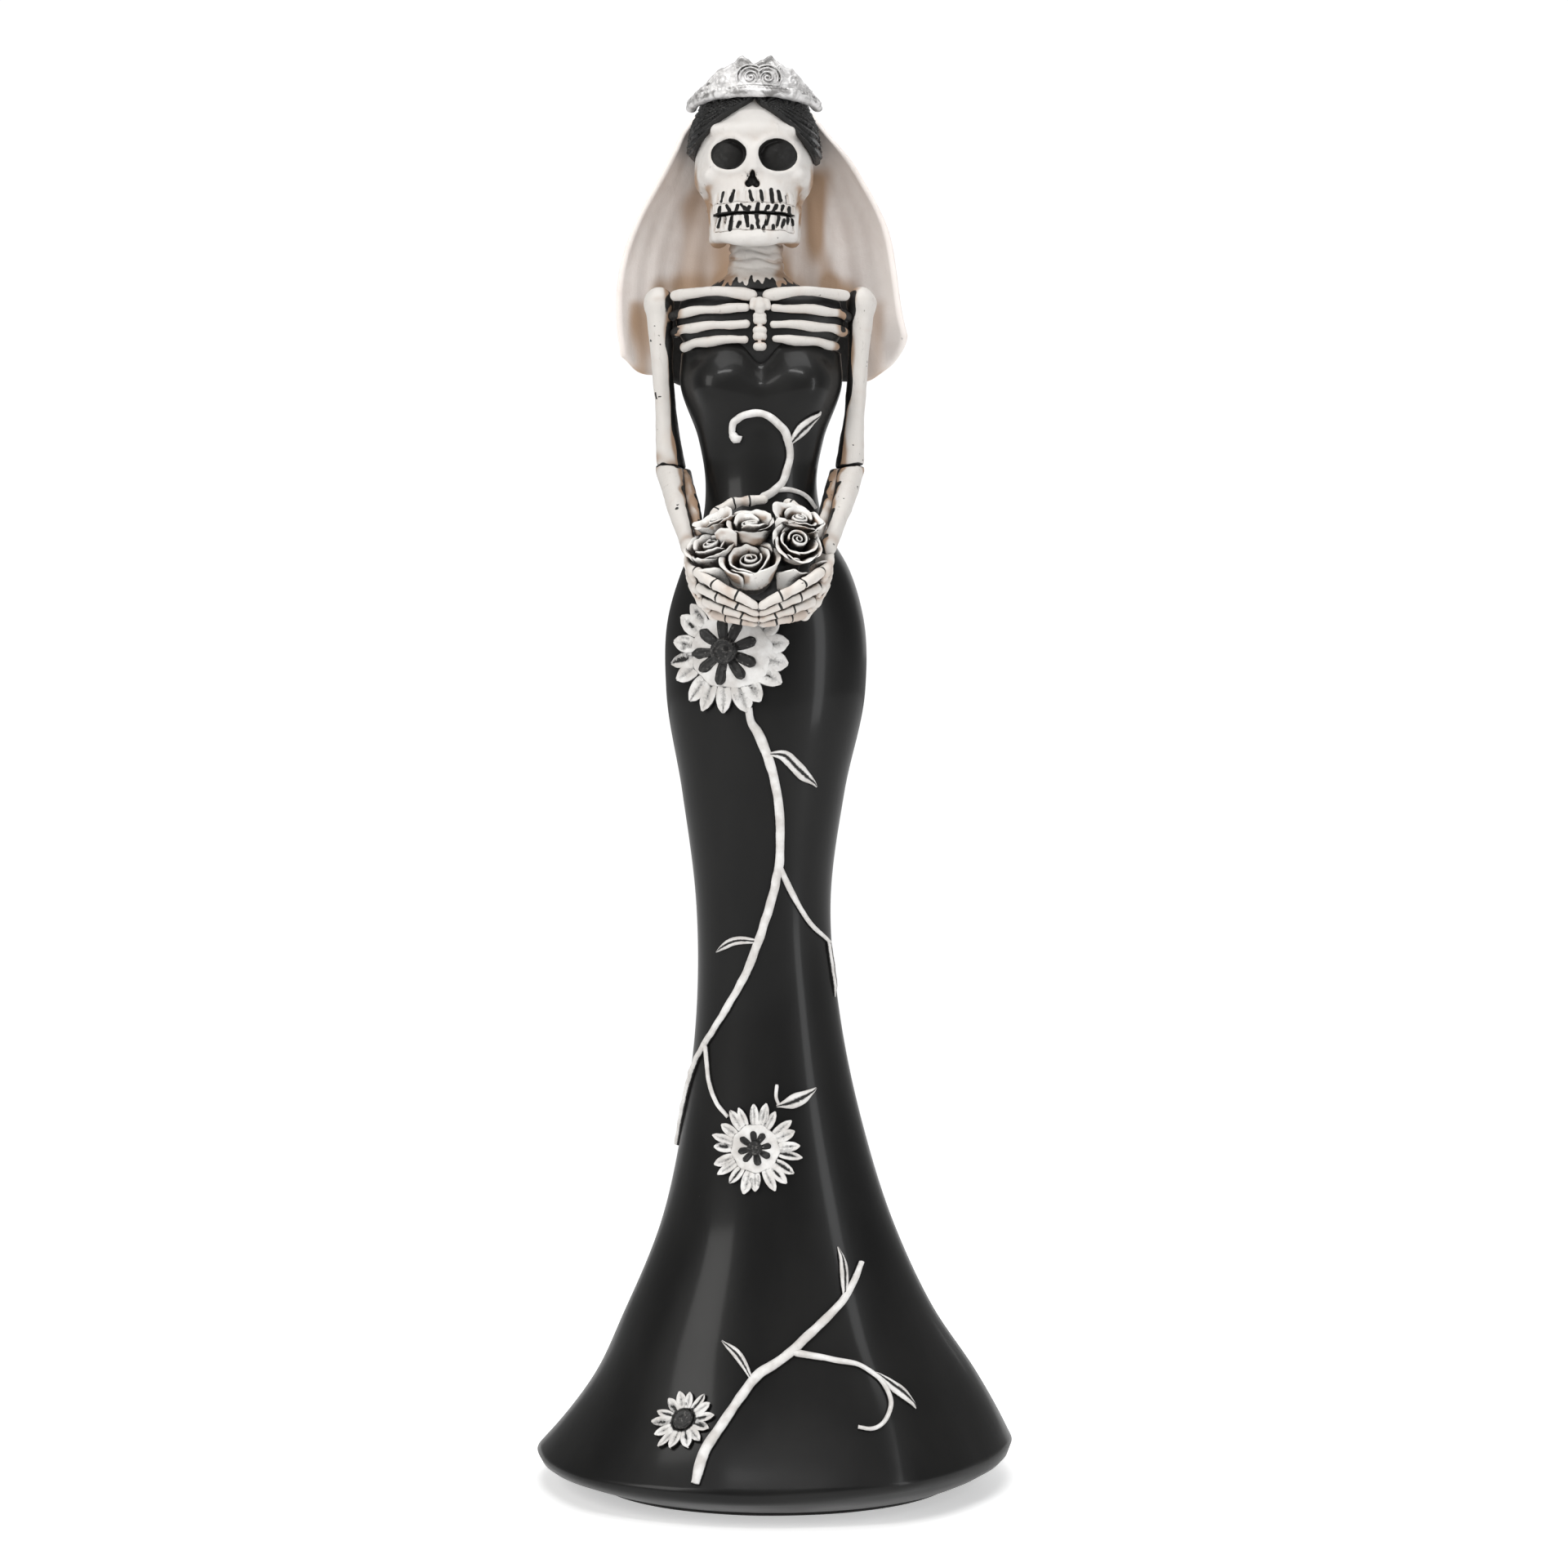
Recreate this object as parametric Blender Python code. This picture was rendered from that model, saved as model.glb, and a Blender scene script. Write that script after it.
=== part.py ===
"""Skeleton bride figurine: a cast figure put together from separate glued castings.

The figure stands on z = 0, faces -Y, and has its own right side at -X. All lengths in this file
are millimetres and all angles degrees; add_solid scales each finished mesh to metres.
"""

import math

import bmesh
import bpy
import numpy as np
from mathutils import Vector

METRES = 0.001
GAP = 0.35  # clearance between pieces that touch
BODY_X = -3.2  # the upper body leans a little to the figure's right
HEAD_X = -4.5

# Gown: height, half width, depth to the front, depth to the back, centre x, centre y
HEM_HEIGHT = 8.0
NECKLINE_HEIGHT = 242.5
GOWN_PROFILE = (
    (8, 51.0, 40.5, 40.0, 0.0, 0.0),
    (13, 47.5, 37.0, 37.0, 1.0, 0.0),
    (22, 41.5, 32.0, 32.5, 2.0, 0.5),
    (36, 33.5, 25.5, 26.5, 1.0, 0.5),
    (54, 25.5, 20.0, 21.0, 0.5, 1.0),
    (76, 19.5, 16.0, 16.5, -0.5, 1.0),
    (100, 15.5, 13.0, 13.0, -1.5, 0.5),
    (124, 14.5, 12.5, 12.0, -2.5, 0.0),
    (148, 17.5, 14.0, 14.0, -2.5, 0.0),
    (170, 21.5, 16.0, 17.0, -2.0, 1.0),
    (186, 21.0, 15.0, 17.0, -2.0, 1.0),
    (196, 18.0, 12.5, 14.0, -2.0, 1.0),
    (205, 13.5, 10.5, 10.5, -2.5, 1.0),
    (214, 12.0, 9.5, 9.0, -3.0, 1.0),
    (224, 13.5, 10.0, 9.5, -3.0, 1.0),
    (236, 17.5, 10.5, 10.0, -3.0, 1.0),
    (243, 17.5, 10.0, 10.0, -3.0, 1.0),
)
GOWN_ROWS = (8, 10.5, 14, 19, 26, 34, 42, 51, 61, 72, 84, 97, 110, 124, 138, 152, 165, 175, 184,
             192, 198, 203, 207, 211, 215, 219, 223, 227, 231, 235, 238.5, 241, 242.5)
GOWN_SIDES = 36
# Rounded forms of the body under the cloth: turn, height, spread in turn, spread in height, rise
BODY_FORMS = (
    (-33, 233.5, 21, 6.5, 3.4),
    (33, 233.5, 21, 6.5, 3.4),
    (-148, 177, 26, 13, 1.6),
    (148, 177, 26, 13, 1.6),
)
HEM_FOLDS = ((30, 1.5), (-6, -1.1), (62, -0.9), (-50, 0.8), (115, 1.2), (160, -1.2), (-125, 1.1))
HEM_FOLD_SPREAD = 13.0
HEM_TILT = 1.0
HEM_FOLD_TOP = 75.0
BASE_HALF_WIDTH, BASE_DEPTH = 40.8, 30.0
FELT_HALF_WIDTH, FELT_DEPTH, FELT_THICKNESS = 38.5, 28.0, 1.0
BASE_HEIGHT = FELT_THICKNESS + GAP
POCKET_DEPTH, POCKET_LIP = 4.5, 1.2

# Chest: height, half width, depth to the front, depth to the back
CHEST_Y = 1.0
CHEST_PROFILE = (
    (238.4, 13.6, 7.0, 7.2),
    (243.0, 14.8, 7.8, 8.0),
    (248.0, 15.6, 7.9, 8.2),
    (253.0, 16.0, 7.6, 8.0),
    (256.0, 15.2, 6.6, 7.2),
    (257.8, 10.6, 6.0, 6.4),
)
RIB_HEIGHTS = (251.2, 247.6, 244.6)
RIB_HALF_HEIGHT, RIB_HALF_THICKNESS = 1.05, 0.75
CLAVICLE_HEIGHT = 254.9
NECK_RADIUS, NECK_BOTTOM, NECK_TOP, NECK_Y = 6.2, 258.2, 274.3, 2.6
NECK_RINGS = 5

# Head: the cranium is an ellipsoid; the face below it follows a profile
CRANIUM_CENTRE = (HEAD_X, 2.2, 283.5)
CRANIUM_SIZE = (12.4, 13.3, 17.6)
FACE_PROFILE = (  # height, half width, y of the front, y of the back
    (274.7, 8.6, -11.6, 2.0),
    (276.2, 9.6, -11.4, 8.5),
    (278.4, 11.4, -10.9, 10.6),
    (281.0, 12.0, -10.7, 13.6),
)
EYE_HEIGHT, EYE_SPACING = 283.0, 5.2
EYE_SIZE = (3.8, 6.0, 3.3)
NOSE_HEIGHT = 276.9
ARCH_CENTRE = (HEAD_X, -2.6)
ARCH_SIZE = (8.9, 9.2)
CHIN_HEIGHT, JAW_TOP, MOUTH_HEIGHT = 263.2, 266.3, 270.1
TEETH_PER_JAW, TEETH_SPREAD, TEETH_THICKNESS = 12, 56, 2.2
HAIRLINE = ((0, 37), (25, 28), (45, 16), (62, 6), (80, -4), (110, -14), (180, -18))  # turn, latitude
HAIR_THICKNESS = 1.9
BAND_HEIGHT, BAND_RADIUS, BAND_TALL, BAND_SPREAD = 294.7, 14.3, 2.2, 98.0
CREST_HEIGHTS = ((0, 7.3), (8, 8.1), (16, 7.3), (28, 5.3), (43, 3.5), (62, 2.0), (88, 0.8))

# Veil: height, half width on the figure's right, on its left, depth, half angle, centre y
VEIL_PROFILE = (
    (301.4, 6.0, 6.0, 8.0, 66, 4.8),
    (297.5, 11.3, 11.3, 12.6, 68, 3.4),
    (292.0, 15.7, 15.8, 15.4, 72, 2.6),
    (287.0, 17.5, 19.6, 16.6, 76, 2.2),
    (281.0, 21.4, 24.3, 17.0, 72, 2.2),
    (272.0, 28.0, 30.9, 17.4, 66, 2.2),
    (262.0, 32.7, 34.5, 17.6, 62, 2.4),
    (252.0, 34.1, 37.1, 17.8, 60, 2.8),
    (243.0, 33.7, 40.6, 18.0, 58, 3.2),
)
VEIL_THICKNESS = 1.5
VEIL_COLUMNS, VEIL_ROWS = 27, 11

SHOULDER = (-25.0, 1.2, 253.6)  # the figure's right arm; the left one is its mirror image
ELBOW = (-22.0, 3.2, 217.6)
WRIST = (-16.9, -20.6, 198.6)
BOWL_CENTRE = (-3.4, -22.0, 195.5)  # the cupped hands follow a sphere around the bouquet
BOWL_RADIUS = 13.9
FINGERS = (  # side azimuth, side elevation, end azimuth, end elevation
    (-66, -9, -5, -43),
    (-69, -22, -4, -52),
    (-75, -36, -5, -61),
    (-88, -50, -8, -70),
)
THUMB = ((-13.6, -16.8, 203.9), (-12.4, -15.4, 206.2), (-9.6, -14.0, 208.2), (-6.6, -13.2, 209.0),
         (-2.4, -12.9, 209.4))
LEFT_THUMB_LENGTH = 0.55  # its tip is bent down among the flowers
PALM_TOP, PALM_BOTTOM, PALM_SPREAD = 6.0, -54.0, 44.0
BOUQUET_CENTRE = (-3.2, -20.2, 196.4)
BOUQUET_SIZE = (7.4, 5.4, 6.6)
ROSES = (  # name, centre of its base, azimuth and elevation it faces, radius, length
    ("front_rose", (-4.2, -27.2, 191.9), -2, 32, 4.9, 7.0),
    ("right_rose", (-11.0, -23.6, 196.6), -42, 30, 4.0, 4.2),
    ("left_rose", (4.4, -25.2, 198.4), 26, 22, 4.4, 4.4),
    ("top_rose", (-4.4, -22.6, 202.9), 0, 62, 4.0, 3.4),
    ("upper_right_rose", (-10.6, -19.4, 203.4), -50, 58, 3.4, 3.2),
    ("upper_left_rose", (4.2, -20.4, 203.6), 45, 62, 3.9, 3.2),
)

# Relief on the gown: routes are (turn, height) points, each with its half width at both ends
STEM_RISE, LEAF_RISE = 1.25, 1.0
WAIST_VINE = ((-1, 210), (14.5, 212), (25.5, 215.5), (29, 219), (24, 223),
              (14, 226), (1.5, 228), (-8, 228), (-18.5, 227), (-24, 225.5),
              (-25.5, 224), (-21.5, 223))
WAIST_LEAF = ((26.5, 221.5), (38.5, 225.5), (51, 229))
WAIST_CURL = ((13, 212), (32.5, 212), (52, 210.5), (61.5, 208.5))
THIGH_VINE = ((-8, 163), (-4, 160.5), (2.5, 155.5), (6.5, 151.5), (10.5, 146.5),
              (13, 140), (13, 133), (10, 128.5), (3, 122), (-5.5, 116),
              (-15.5, 110), (-30, 103.5), (-44.5, 98), (-57.5, 93.5), (-69, 89.5),
              (-80, 83.5), (-89, 76.5), (-96, 71.5))
THIGH_LEAF = ((2.5, 156), (13.5, 155.5), (22, 153), (39.5, 149))
KNEE_BRANCH = ((13, 132.5), (25.5, 126), (39, 121), (71, 115.5))
SIDE_LEAF = ((67, 116.5), (73, 109.5), (72.5, 104))
SHIN_LEAF = ((-3, 116.5), (-24, 116.5), (-44.5, 114))
FLOWER_STEM = ((-55, 94.5), (-47, 86.5), (-41, 83.5))
BUD_STEM = ((4.5, 86.5), (3.5, 84), (5.5, 82))
BUD_LEAF = ((3.5, 82), (11, 82.5), (20, 83.5), (33, 85.5))
HEM_VINE = ((-18, 10), (-18.5, 15), (-17, 19), (-15, 22.5), (-10.5, 27),
            (2, 32.5), (14.5, 38), (25.5, 42.5), (33.5, 46.5), (39, 49.5))
HEM_TOP_LEAF = ((26.5, 43), (29.5, 49.5), (29, 53))
HEM_TWIG = ((-9.5, 27.5), (-14, 32), (-20.5, 35))
HEM_BRANCH = ((4, 33), (17, 31.5), (26.5, 29.5), (30.5, 26.5), (31, 23.5), (28, 20),
              (23.5, 18.5), (20, 19))
HEM_LEAF = ((29.5, 28.5), (36, 24), (39, 21))

IVORY = ("ivory", (0.80, 0.74, 0.70), 0.55, 0.0)
BONE = ("bone", (0.83, 0.79, 0.76), 0.50, 0.0)
BLACK = ("gown_black", (0.028, 0.028, 0.028), 0.38, 0.0)
INK = ("ink_black", (0.012, 0.012, 0.012), 0.45, 0.0)
SILVER = ("silver", (0.62, 0.60, 0.60), 0.42, 0.2)
FELT = ("felt", (0.02, 0.02, 0.02), 0.95, 0.0)


def clear_scene():
    for old in list(bpy.data.objects):
        bpy.data.objects.remove(old)


def material(finish):
    name, colour, roughness, metallic = finish
    made = bpy.data.materials.get(name)
    if made is None:
        made = bpy.data.materials.new(name)
        made.use_nodes = True
        shader = made.node_tree.nodes["Principled BSDF"]
        shader.inputs["Base Color"].default_value = (*colour, 1.0)
        shader.inputs["Roughness"].default_value = roughness
        shader.inputs["Metallic"].default_value = metallic
    return made


def add_solid(name, points, faces, finish, sharp=50):
    """A closed mesh in millimetres becomes an object in metres, with its faces pointing out."""
    mesh = bpy.data.meshes.new(name)
    mesh.from_pydata([Vector(p) * METRES for p in points], [], faces)
    shape = bmesh.new()
    shape.from_mesh(mesh)
    bmesh.ops.recalc_face_normals(shape, faces=shape.faces)
    shape.to_mesh(mesh)
    shape.free()
    mesh.shade_smooth()
    mesh.set_sharp_from_angle(angle=math.radians(sharp))
    mesh.materials.append(material(finish))
    made = bpy.data.objects.new(name, mesh)
    bpy.context.scene.collection.objects.link(made)
    return made


def combine(target, tool, operation):
    """Joins or cuts target with a hidden tool object."""
    tool.hide_render = True
    tool.display_type = "WIRE"
    modifier = target.modifiers.new(tool.name, "BOOLEAN")
    modifier.operation = operation
    modifier.object = tool
    modifier.solver = "EXACT"


def spline(table, at):
    """The columns of table, whose first column ascends, on a smooth curve at that value."""
    rows = np.asarray(table, float)
    keys, values = rows[:, 0], rows[:, 1:]
    slopes = np.gradient(values, keys, axis=0)
    i = int(np.clip(np.searchsorted(keys, at) - 1, 0, len(keys) - 2))
    span = keys[i + 1] - keys[i]
    t = min(max((at - keys[i]) / span, 0.0), 1.0)
    return (
        (2 * t**3 - 3 * t**2 + 1) * values[i]
        + (t**3 - 2 * t**2 + t) * span * slopes[i]
        + (3 * t**2 - 2 * t**3) * values[i + 1]
        + (t**3 - t**2) * span * slopes[i + 1]
    )


def smooth_route(points, count):
    """count points evenly along a smooth curve through the given ones."""
    points = np.asarray(points, float)
    along = np.concatenate([[0], np.cumsum(np.linalg.norm(np.diff(points, axis=0), axis=1))])
    table = np.column_stack([along, points])
    return np.array([spline(table, s) for s in np.linspace(0, along[-1], count)])


def ease(low, high, value):
    t = min(max((value - low) / (high - low), 0.0), 1.0)
    return t * t * (3 - 2 * t)


def loft_faces(rings, sides):
    """Quads between successive closed rings, with a cap on the first and the last."""
    faces = []
    for ring in range(rings - 1):
        for side in range(sides):
            after = (side + 1) % sides
            low, high = ring * sides, (ring + 1) * sides
            faces.append((low + side, low + after, high + after, high + side))
    faces.append(tuple(range(sides)))
    faces.append(tuple(range((rings - 1) * sides, rings * sides)))
    return faces


def add_loft(name, rings, finish, sharp=50):
    rings = np.asarray(rings, float)
    faces = loft_faces(rings.shape[0], rings.shape[1])
    return add_solid(name, rings.reshape(-1, 3), faces, finish, sharp)


def add_shell(name, outer, inner, finish, sharp=50):
    """A curved sheet with thickness: two grids of points, joined along their four borders."""
    outer, inner = np.asarray(outer, float), np.asarray(inner, float)
    rows, columns = outer.shape[:2]
    second = rows * columns
    faces = []
    for r in range(rows - 1):
        for c in range(columns - 1):
            here, below = r * columns + c, (r + 1) * columns + c
            quad = (here, here + 1, below + 1, below)
            faces.append(quad)
            faces.append(tuple(second + i for i in reversed(quad)))
    border = [(0, c) for c in range(columns)] + [(r, columns - 1) for r in range(1, rows)]
    border += [(rows - 1, c) for c in range(columns - 2, -1, -1)]
    border += [(r, 0) for r in range(rows - 2, 0, -1)]
    ring = [r * columns + c for r, c in border]
    for here, after in zip(ring, ring[1:] + ring[:1]):
        faces.append((after, here, second + here, second + after))
    points = np.concatenate([outer.reshape(-1, 3), inner.reshape(-1, 3)])
    return add_solid(name, points, faces, finish, sharp)


def sweep_rings(route, sizes, wide, sides=8):
    """Oval rings square to a route; sizes are (half width along wide, half thickness) per point."""
    route, wide = np.asarray(route, float), np.asarray(wide, float)
    wides = np.broadcast_to(wide, route.shape)
    tangents = np.gradient(route, axis=0)
    rings = []
    for point, tangent, across, (half_wide, half_thick) in zip(route, tangents, wides, sizes):
        tangent = tangent / np.linalg.norm(tangent)
        across = across - tangent * (across @ tangent)
        across = across / np.linalg.norm(across)
        through = np.cross(tangent, across)
        angles = np.arange(sides) * 2 * math.pi / sides
        rings.append([
            point + across * half_wide * math.cos(a) + through * half_thick * math.sin(a)
            for a in angles
        ])
    return rings


def mirrored(point):
    """The same place on the other side of the body."""
    return (2 * BODY_X - point[0], point[1], point[2])


# ---------------------------------------------------------------- gown


def neckline(turn):
    """Height of the sweetheart neckline: a dip between the two rounded cups."""
    side = abs(turn)
    dip, cup = math.exp(-((side / 13) ** 2)), math.exp(-(((side - 34) / 20) ** 2))
    return NECKLINE_HEIGHT - 3.4 * dip + 0.9 * cup


def gown_point(turn, height, lift=0.0):
    """A point on the gown's outer surface, turn degrees from the front towards +X."""
    turn = (turn + 180) % 360 - 180
    half_width, front, back, centre_x, centre_y = spline(GOWN_PROFILE, height)
    angle = math.radians(turn)
    rise = lift
    for form_turn, form_height, turn_spread, height_spread, amount in BODY_FORMS:
        off = ((turn - form_turn) / turn_spread) ** 2 + ((height - form_height) / height_spread) ** 2
        rise += amount * math.exp(-off)
    flare = (1 - ease(HEM_HEIGHT, HEM_FOLD_TOP, height)) ** 2
    for fold_turn, amount in HEM_FOLDS:
        off = (turn - fold_turn + 180) % 360 - 180
        rise += amount * flare * math.exp(-((off / HEM_FOLD_SPREAD) ** 2))
    depth = front if math.cos(angle) > 0 else back
    tilt = HEM_TILT * math.sin(angle) * (1 - ease(HEM_HEIGHT, 40, height))
    return np.array([
        centre_x + (half_width + rise) * math.sin(angle),
        centre_y - (depth + rise) * math.cos(angle),
        height + tilt,
    ])


def gown_normal(turn, height):
    across = gown_point(turn + 1, height) - gown_point(turn - 1, height)
    up = gown_point(turn, height + 0.5) - gown_point(turn, height - 0.5)
    normal = np.cross(across, up)
    return normal / np.linalg.norm(normal)


def gown_offset(turn, height, right, up, lift):
    """The point right and up millimetres along the surface from (turn, height), lifted off it."""
    per_degree = np.linalg.norm(gown_point(turn + 1, height) - gown_point(turn - 1, height)) / 2
    middle = turn + right / per_degree / 2
    per_degree = np.linalg.norm(gown_point(middle + 1, height) - gown_point(middle - 1, height)) / 2
    slope = np.linalg.norm(gown_point(turn, height + 1) - gown_point(turn, height - 1)) / 2
    turn, height = turn + right / per_degree, height + up / slope
    return gown_point(turn, height) + gown_normal(turn, height) * lift


def oval(height, half_width, depth, sides=GOWN_SIDES):
    turns = [math.radians(360 * i / sides) for i in range(sides)]
    return [(half_width * math.sin(a), -depth * math.cos(a), height) for a in turns]


def gown_ring(row, inset=0.0):
    turns = [360 * i / GOWN_SIDES for i in range(GOWN_SIDES)]
    top = GOWN_ROWS[-1]
    raised = ease(218, top, row)
    ring = []
    for turn in turns:
        signed = (turn + 180) % 360 - 180
        ring.append(gown_point(turn, row + (neckline(signed) - top) * raised, -inset))
    return ring


def add_gown():
    """The gown: one solid casting with a pocket for the chest on top."""
    pocket = gown_ring(GOWN_ROWS[-1], POCKET_LIP)
    narrower = gown_ring(GOWN_ROWS[-1], POCKET_LIP + 0.4)
    floor = [(x, y, NECKLINE_HEIGHT - POCKET_DEPTH) for x, y, _ in narrower]
    outer = [gown_ring(row) for row in reversed(GOWN_ROWS)]
    under = [oval(BASE_HEIGHT + 3.2, 47.6, 36.4), oval(BASE_HEIGHT, BASE_HALF_WIDTH, BASE_DEPTH)]
    add_loft("gown", [floor, pocket, *outer, *under], BLACK, sharp=30)


def add_felt():
    add_loft("felt_pad", [oval(z, FELT_HALF_WIDTH, FELT_DEPTH) for z in (0, FELT_THICKNESS)], FELT)


# ---------------------------------------------------------------- relief on the gown


def relief_rings(route, half_widths, rise, count):
    """A low rounded strip along a route on the gown; half_widths(t) is its half width at t."""
    points = smooth_route(route, count)
    rings = []
    for i, (turn, height) in enumerate(points):
        low, high = points[max(i - 1, 0)], points[min(i + 1, count - 1)]
        ahead = gown_point(*high) - gown_point(*low)
        normal = gown_normal(turn, height)
        side = np.cross(normal, ahead)
        side = side / np.linalg.norm(side)
        east = gown_point(turn + 1, height) - gown_point(turn - 1, height)
        east = east / np.linalg.norm(east)
        right, up = side @ east, side @ np.cross(normal, east)
        width = half_widths(i / (count - 1))
        low, shoulder = 1.3 * GAP, 0.8 * rise
        section = ((-1, low), (-0.75, shoulder), (0, rise), (0.75, shoulder), (1, low))
        rings.append([
            gown_offset(turn, height, right * width * w, up * width * w, lift)
            for w, lift in section
        ])
    return rings


def stem(start, end):
    return lambda t: start + (end - start) * t


def leaf(half_width, stalk=0.35):
    return lambda t: stalk + (half_width - stalk) * math.sin(math.pi * min(1, 0.06 + 0.9 * t)) ** 0.8


def add_vine(name, route, widths, count, branches):
    """A stem with its leaves and side stems, joined into one casting."""
    vine = add_loft(name, relief_rings(route, widths, STEM_RISE, count), BONE, sharp=60)
    for number, (branch, branch_widths, rise, branch_count) in enumerate(branches):
        rings = relief_rings(branch, branch_widths, rise, branch_count)
        combine(vine, add_loft(f"{name}_branch_{number}", rings, BONE), "UNION")


def add_vines():
    add_vine("waist_vine", WAIST_VINE, stem(1.0, 0.85), 22, (
        (WAIST_LEAF, leaf(1.4), LEAF_RISE, 7),
        (WAIST_CURL, stem(0.75, 0.6), LEAF_RISE, 7),
    ))
    add_vine("thigh_vine", THIGH_VINE, stem(1.15, 0.7), 32, (
        (THIGH_LEAF, leaf(1.4), LEAF_RISE, 8),
        (KNEE_BRANCH, stem(0.8, 0.5), LEAF_RISE, 9),
        (SIDE_LEAF, leaf(1.0), LEAF_RISE, 7),
        (SHIN_LEAF, leaf(0.95), LEAF_RISE, 7),
        (FLOWER_STEM, stem(0.65, 0.5), LEAF_RISE, 6),
    ))
    add_vine("hem_vine", HEM_VINE, stem(1.35, 0.75), 20, (
        (HEM_TOP_LEAF, leaf(0.95), LEAF_RISE, 7),
        (HEM_TWIG, leaf(0.9), LEAF_RISE, 7),
        (HEM_BRANCH, stem(0.95, 0.5), LEAF_RISE, 14),
        (HEM_LEAF, leaf(1.3), LEAF_RISE, 7),
    ))
    add_vine("knee_bud_leaf", BUD_LEAF, leaf(1.3), 9, ((BUD_STEM, stem(0.45, 0.4), LEAF_RISE, 5),))


def add_petal_disc(name, turn, height, petals, radii, lifts, finish, samples=3):
    """A flat flower on the gown: petals of radius radii[2] around a disc of radius radii[1].

    radii[0] is its central hole; lifts are its underside, its disc and its petals' crown.
    """
    hole, disc, tip = radii
    under, top, crown = lifts
    sides = petals * samples
    half = (hole + disc) / 2
    levels = ((hole, 0, under), (hole, 0, top), (half, 0, top), (disc, 0, top), (disc, 0.55, crown),
              (disc, 1, under), (disc, 0.3, under), (half, 0, under))
    rings = [[] for _ in levels]
    for i in range(sides):
        angle = 2 * math.pi * i / sides
        swell = math.sin(math.pi * ((i / samples) % 1)) ** 0.55
        for ring, (radius, share, lift) in zip(rings, levels):
            reach = radius + (tip - disc) * share * swell
            right, up = reach * math.cos(angle), reach * math.sin(angle)
            ring.append(gown_offset(turn, height, right, up, lift))
    faces = []
    for ring in range(len(levels)):
        for i in range(sides):
            here, after = ring * sides, ((ring + 1) % len(levels)) * sides
            faces.append((here + i, here + (i + 1) % sides, after + (i + 1) % sides, after + i))
    points = np.array(rings).reshape(-1, 3)
    return add_solid(name, points, faces, finish, sharp=60)


def add_star(name, turn, height, petals, disc, tip, boss, lifts, finish, samples=4):
    """The black heart of a flower: pointed petals around a domed boss."""
    under, top, dome = lifts
    sides = petals * samples
    rings = [[] for _ in range(6)]
    for i in range(sides):
        angle = 2 * math.pi * i / sides
        reach = disc + (tip - disc) * math.sin(math.pi * ((i / samples) % 1)) ** 0.7
        levels = ((boss * 0.3, under), (0.5 * reach, under), (reach, under), (0.8 * reach, top),
                  (boss, top + 0.2), (boss * 0.6, dome))
        for ring, (radius, lift) in zip(rings, levels):
            right, up = radius * math.cos(angle), radius * math.sin(angle)
            ring.append(gown_offset(turn, height, right, up, lift))
    return add_loft(name, rings, finish, sharp=60)


def add_flowers():
    add_petal_disc("hip_flower", -22.1, 177.4, 18, (1.2, 7.9, 13.2), (GAP, 1.3, 1.7), BONE)
    add_star("hip_flower_star", -22.1, 177.4, 9, 2.9, 6.9, 2.6, (1.3 + GAP, 2.3, 3.5), INK)
    add_petal_disc("knee_flower", -10.4, 73.3, 20, (0.9, 5.2, 9.3), (GAP, 1.1, 1.4), BONE)
    add_star("knee_flower_star", -10.4, 73.3, 8, 1.7, 3.5, 1.5, (1.1 + GAP, 1.8, 2.4), INK, samples=3)
    add_petal_disc("hem_flower", -28.3, 20.1, 14, (2.1, 2.9, 6.2), (GAP, 1.1, 1.3), BONE)
    angles = np.arange(12) * math.pi / 6
    rings = [
        [gown_offset(-28.3, 20.1, r * math.cos(a), r * math.sin(a), lift) for a in angles]
        for r, lift in ((1.7, GAP), (1.7, 0.9), (1.2, 1.6), (0.4, 1.8))
    ]
    add_loft("hem_flower_centre", rings, INK)


# ---------------------------------------------------------------- chest and neck


def chest_point(turn, height, lift=0.0):
    half_width, front, back = spline(CHEST_PROFILE, height)
    angle = math.radians(turn)
    depth = front if math.cos(angle) > 0 else back
    return np.array([
        BODY_X + (half_width + lift) * math.sin(angle),
        CHEST_Y - (depth + lift) * math.cos(angle),
        height,
    ])


def add_chest():
    heights = (238.4, 240.5, 243, 246, 249, 252, 254.5, 256.2, 257.8)
    rings = [[chest_point(15 * i, h) for i in range(24)] for h in heights]
    add_loft("chest_core", rings, INK)


def add_rib(name, side, height, start, end, droop):
    """A flat rib lying against the chest, from the breastbone round to the side."""
    turns = np.linspace(start, end, 8)
    lift = GAP + RIB_HALF_THICKNESS
    route = [chest_point(side * turn, height - droop * (turn / end) ** 2, lift) for turn in turns]
    sizes = [(RIB_HALF_HEIGHT * s, RIB_HALF_THICKNESS * s) for s in (0.75, 1, 1, 1, 1, 1, 1, 0.8)]
    add_loft(name, sweep_rings(route, sizes, (0, 0, 1)), BONE)


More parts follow.
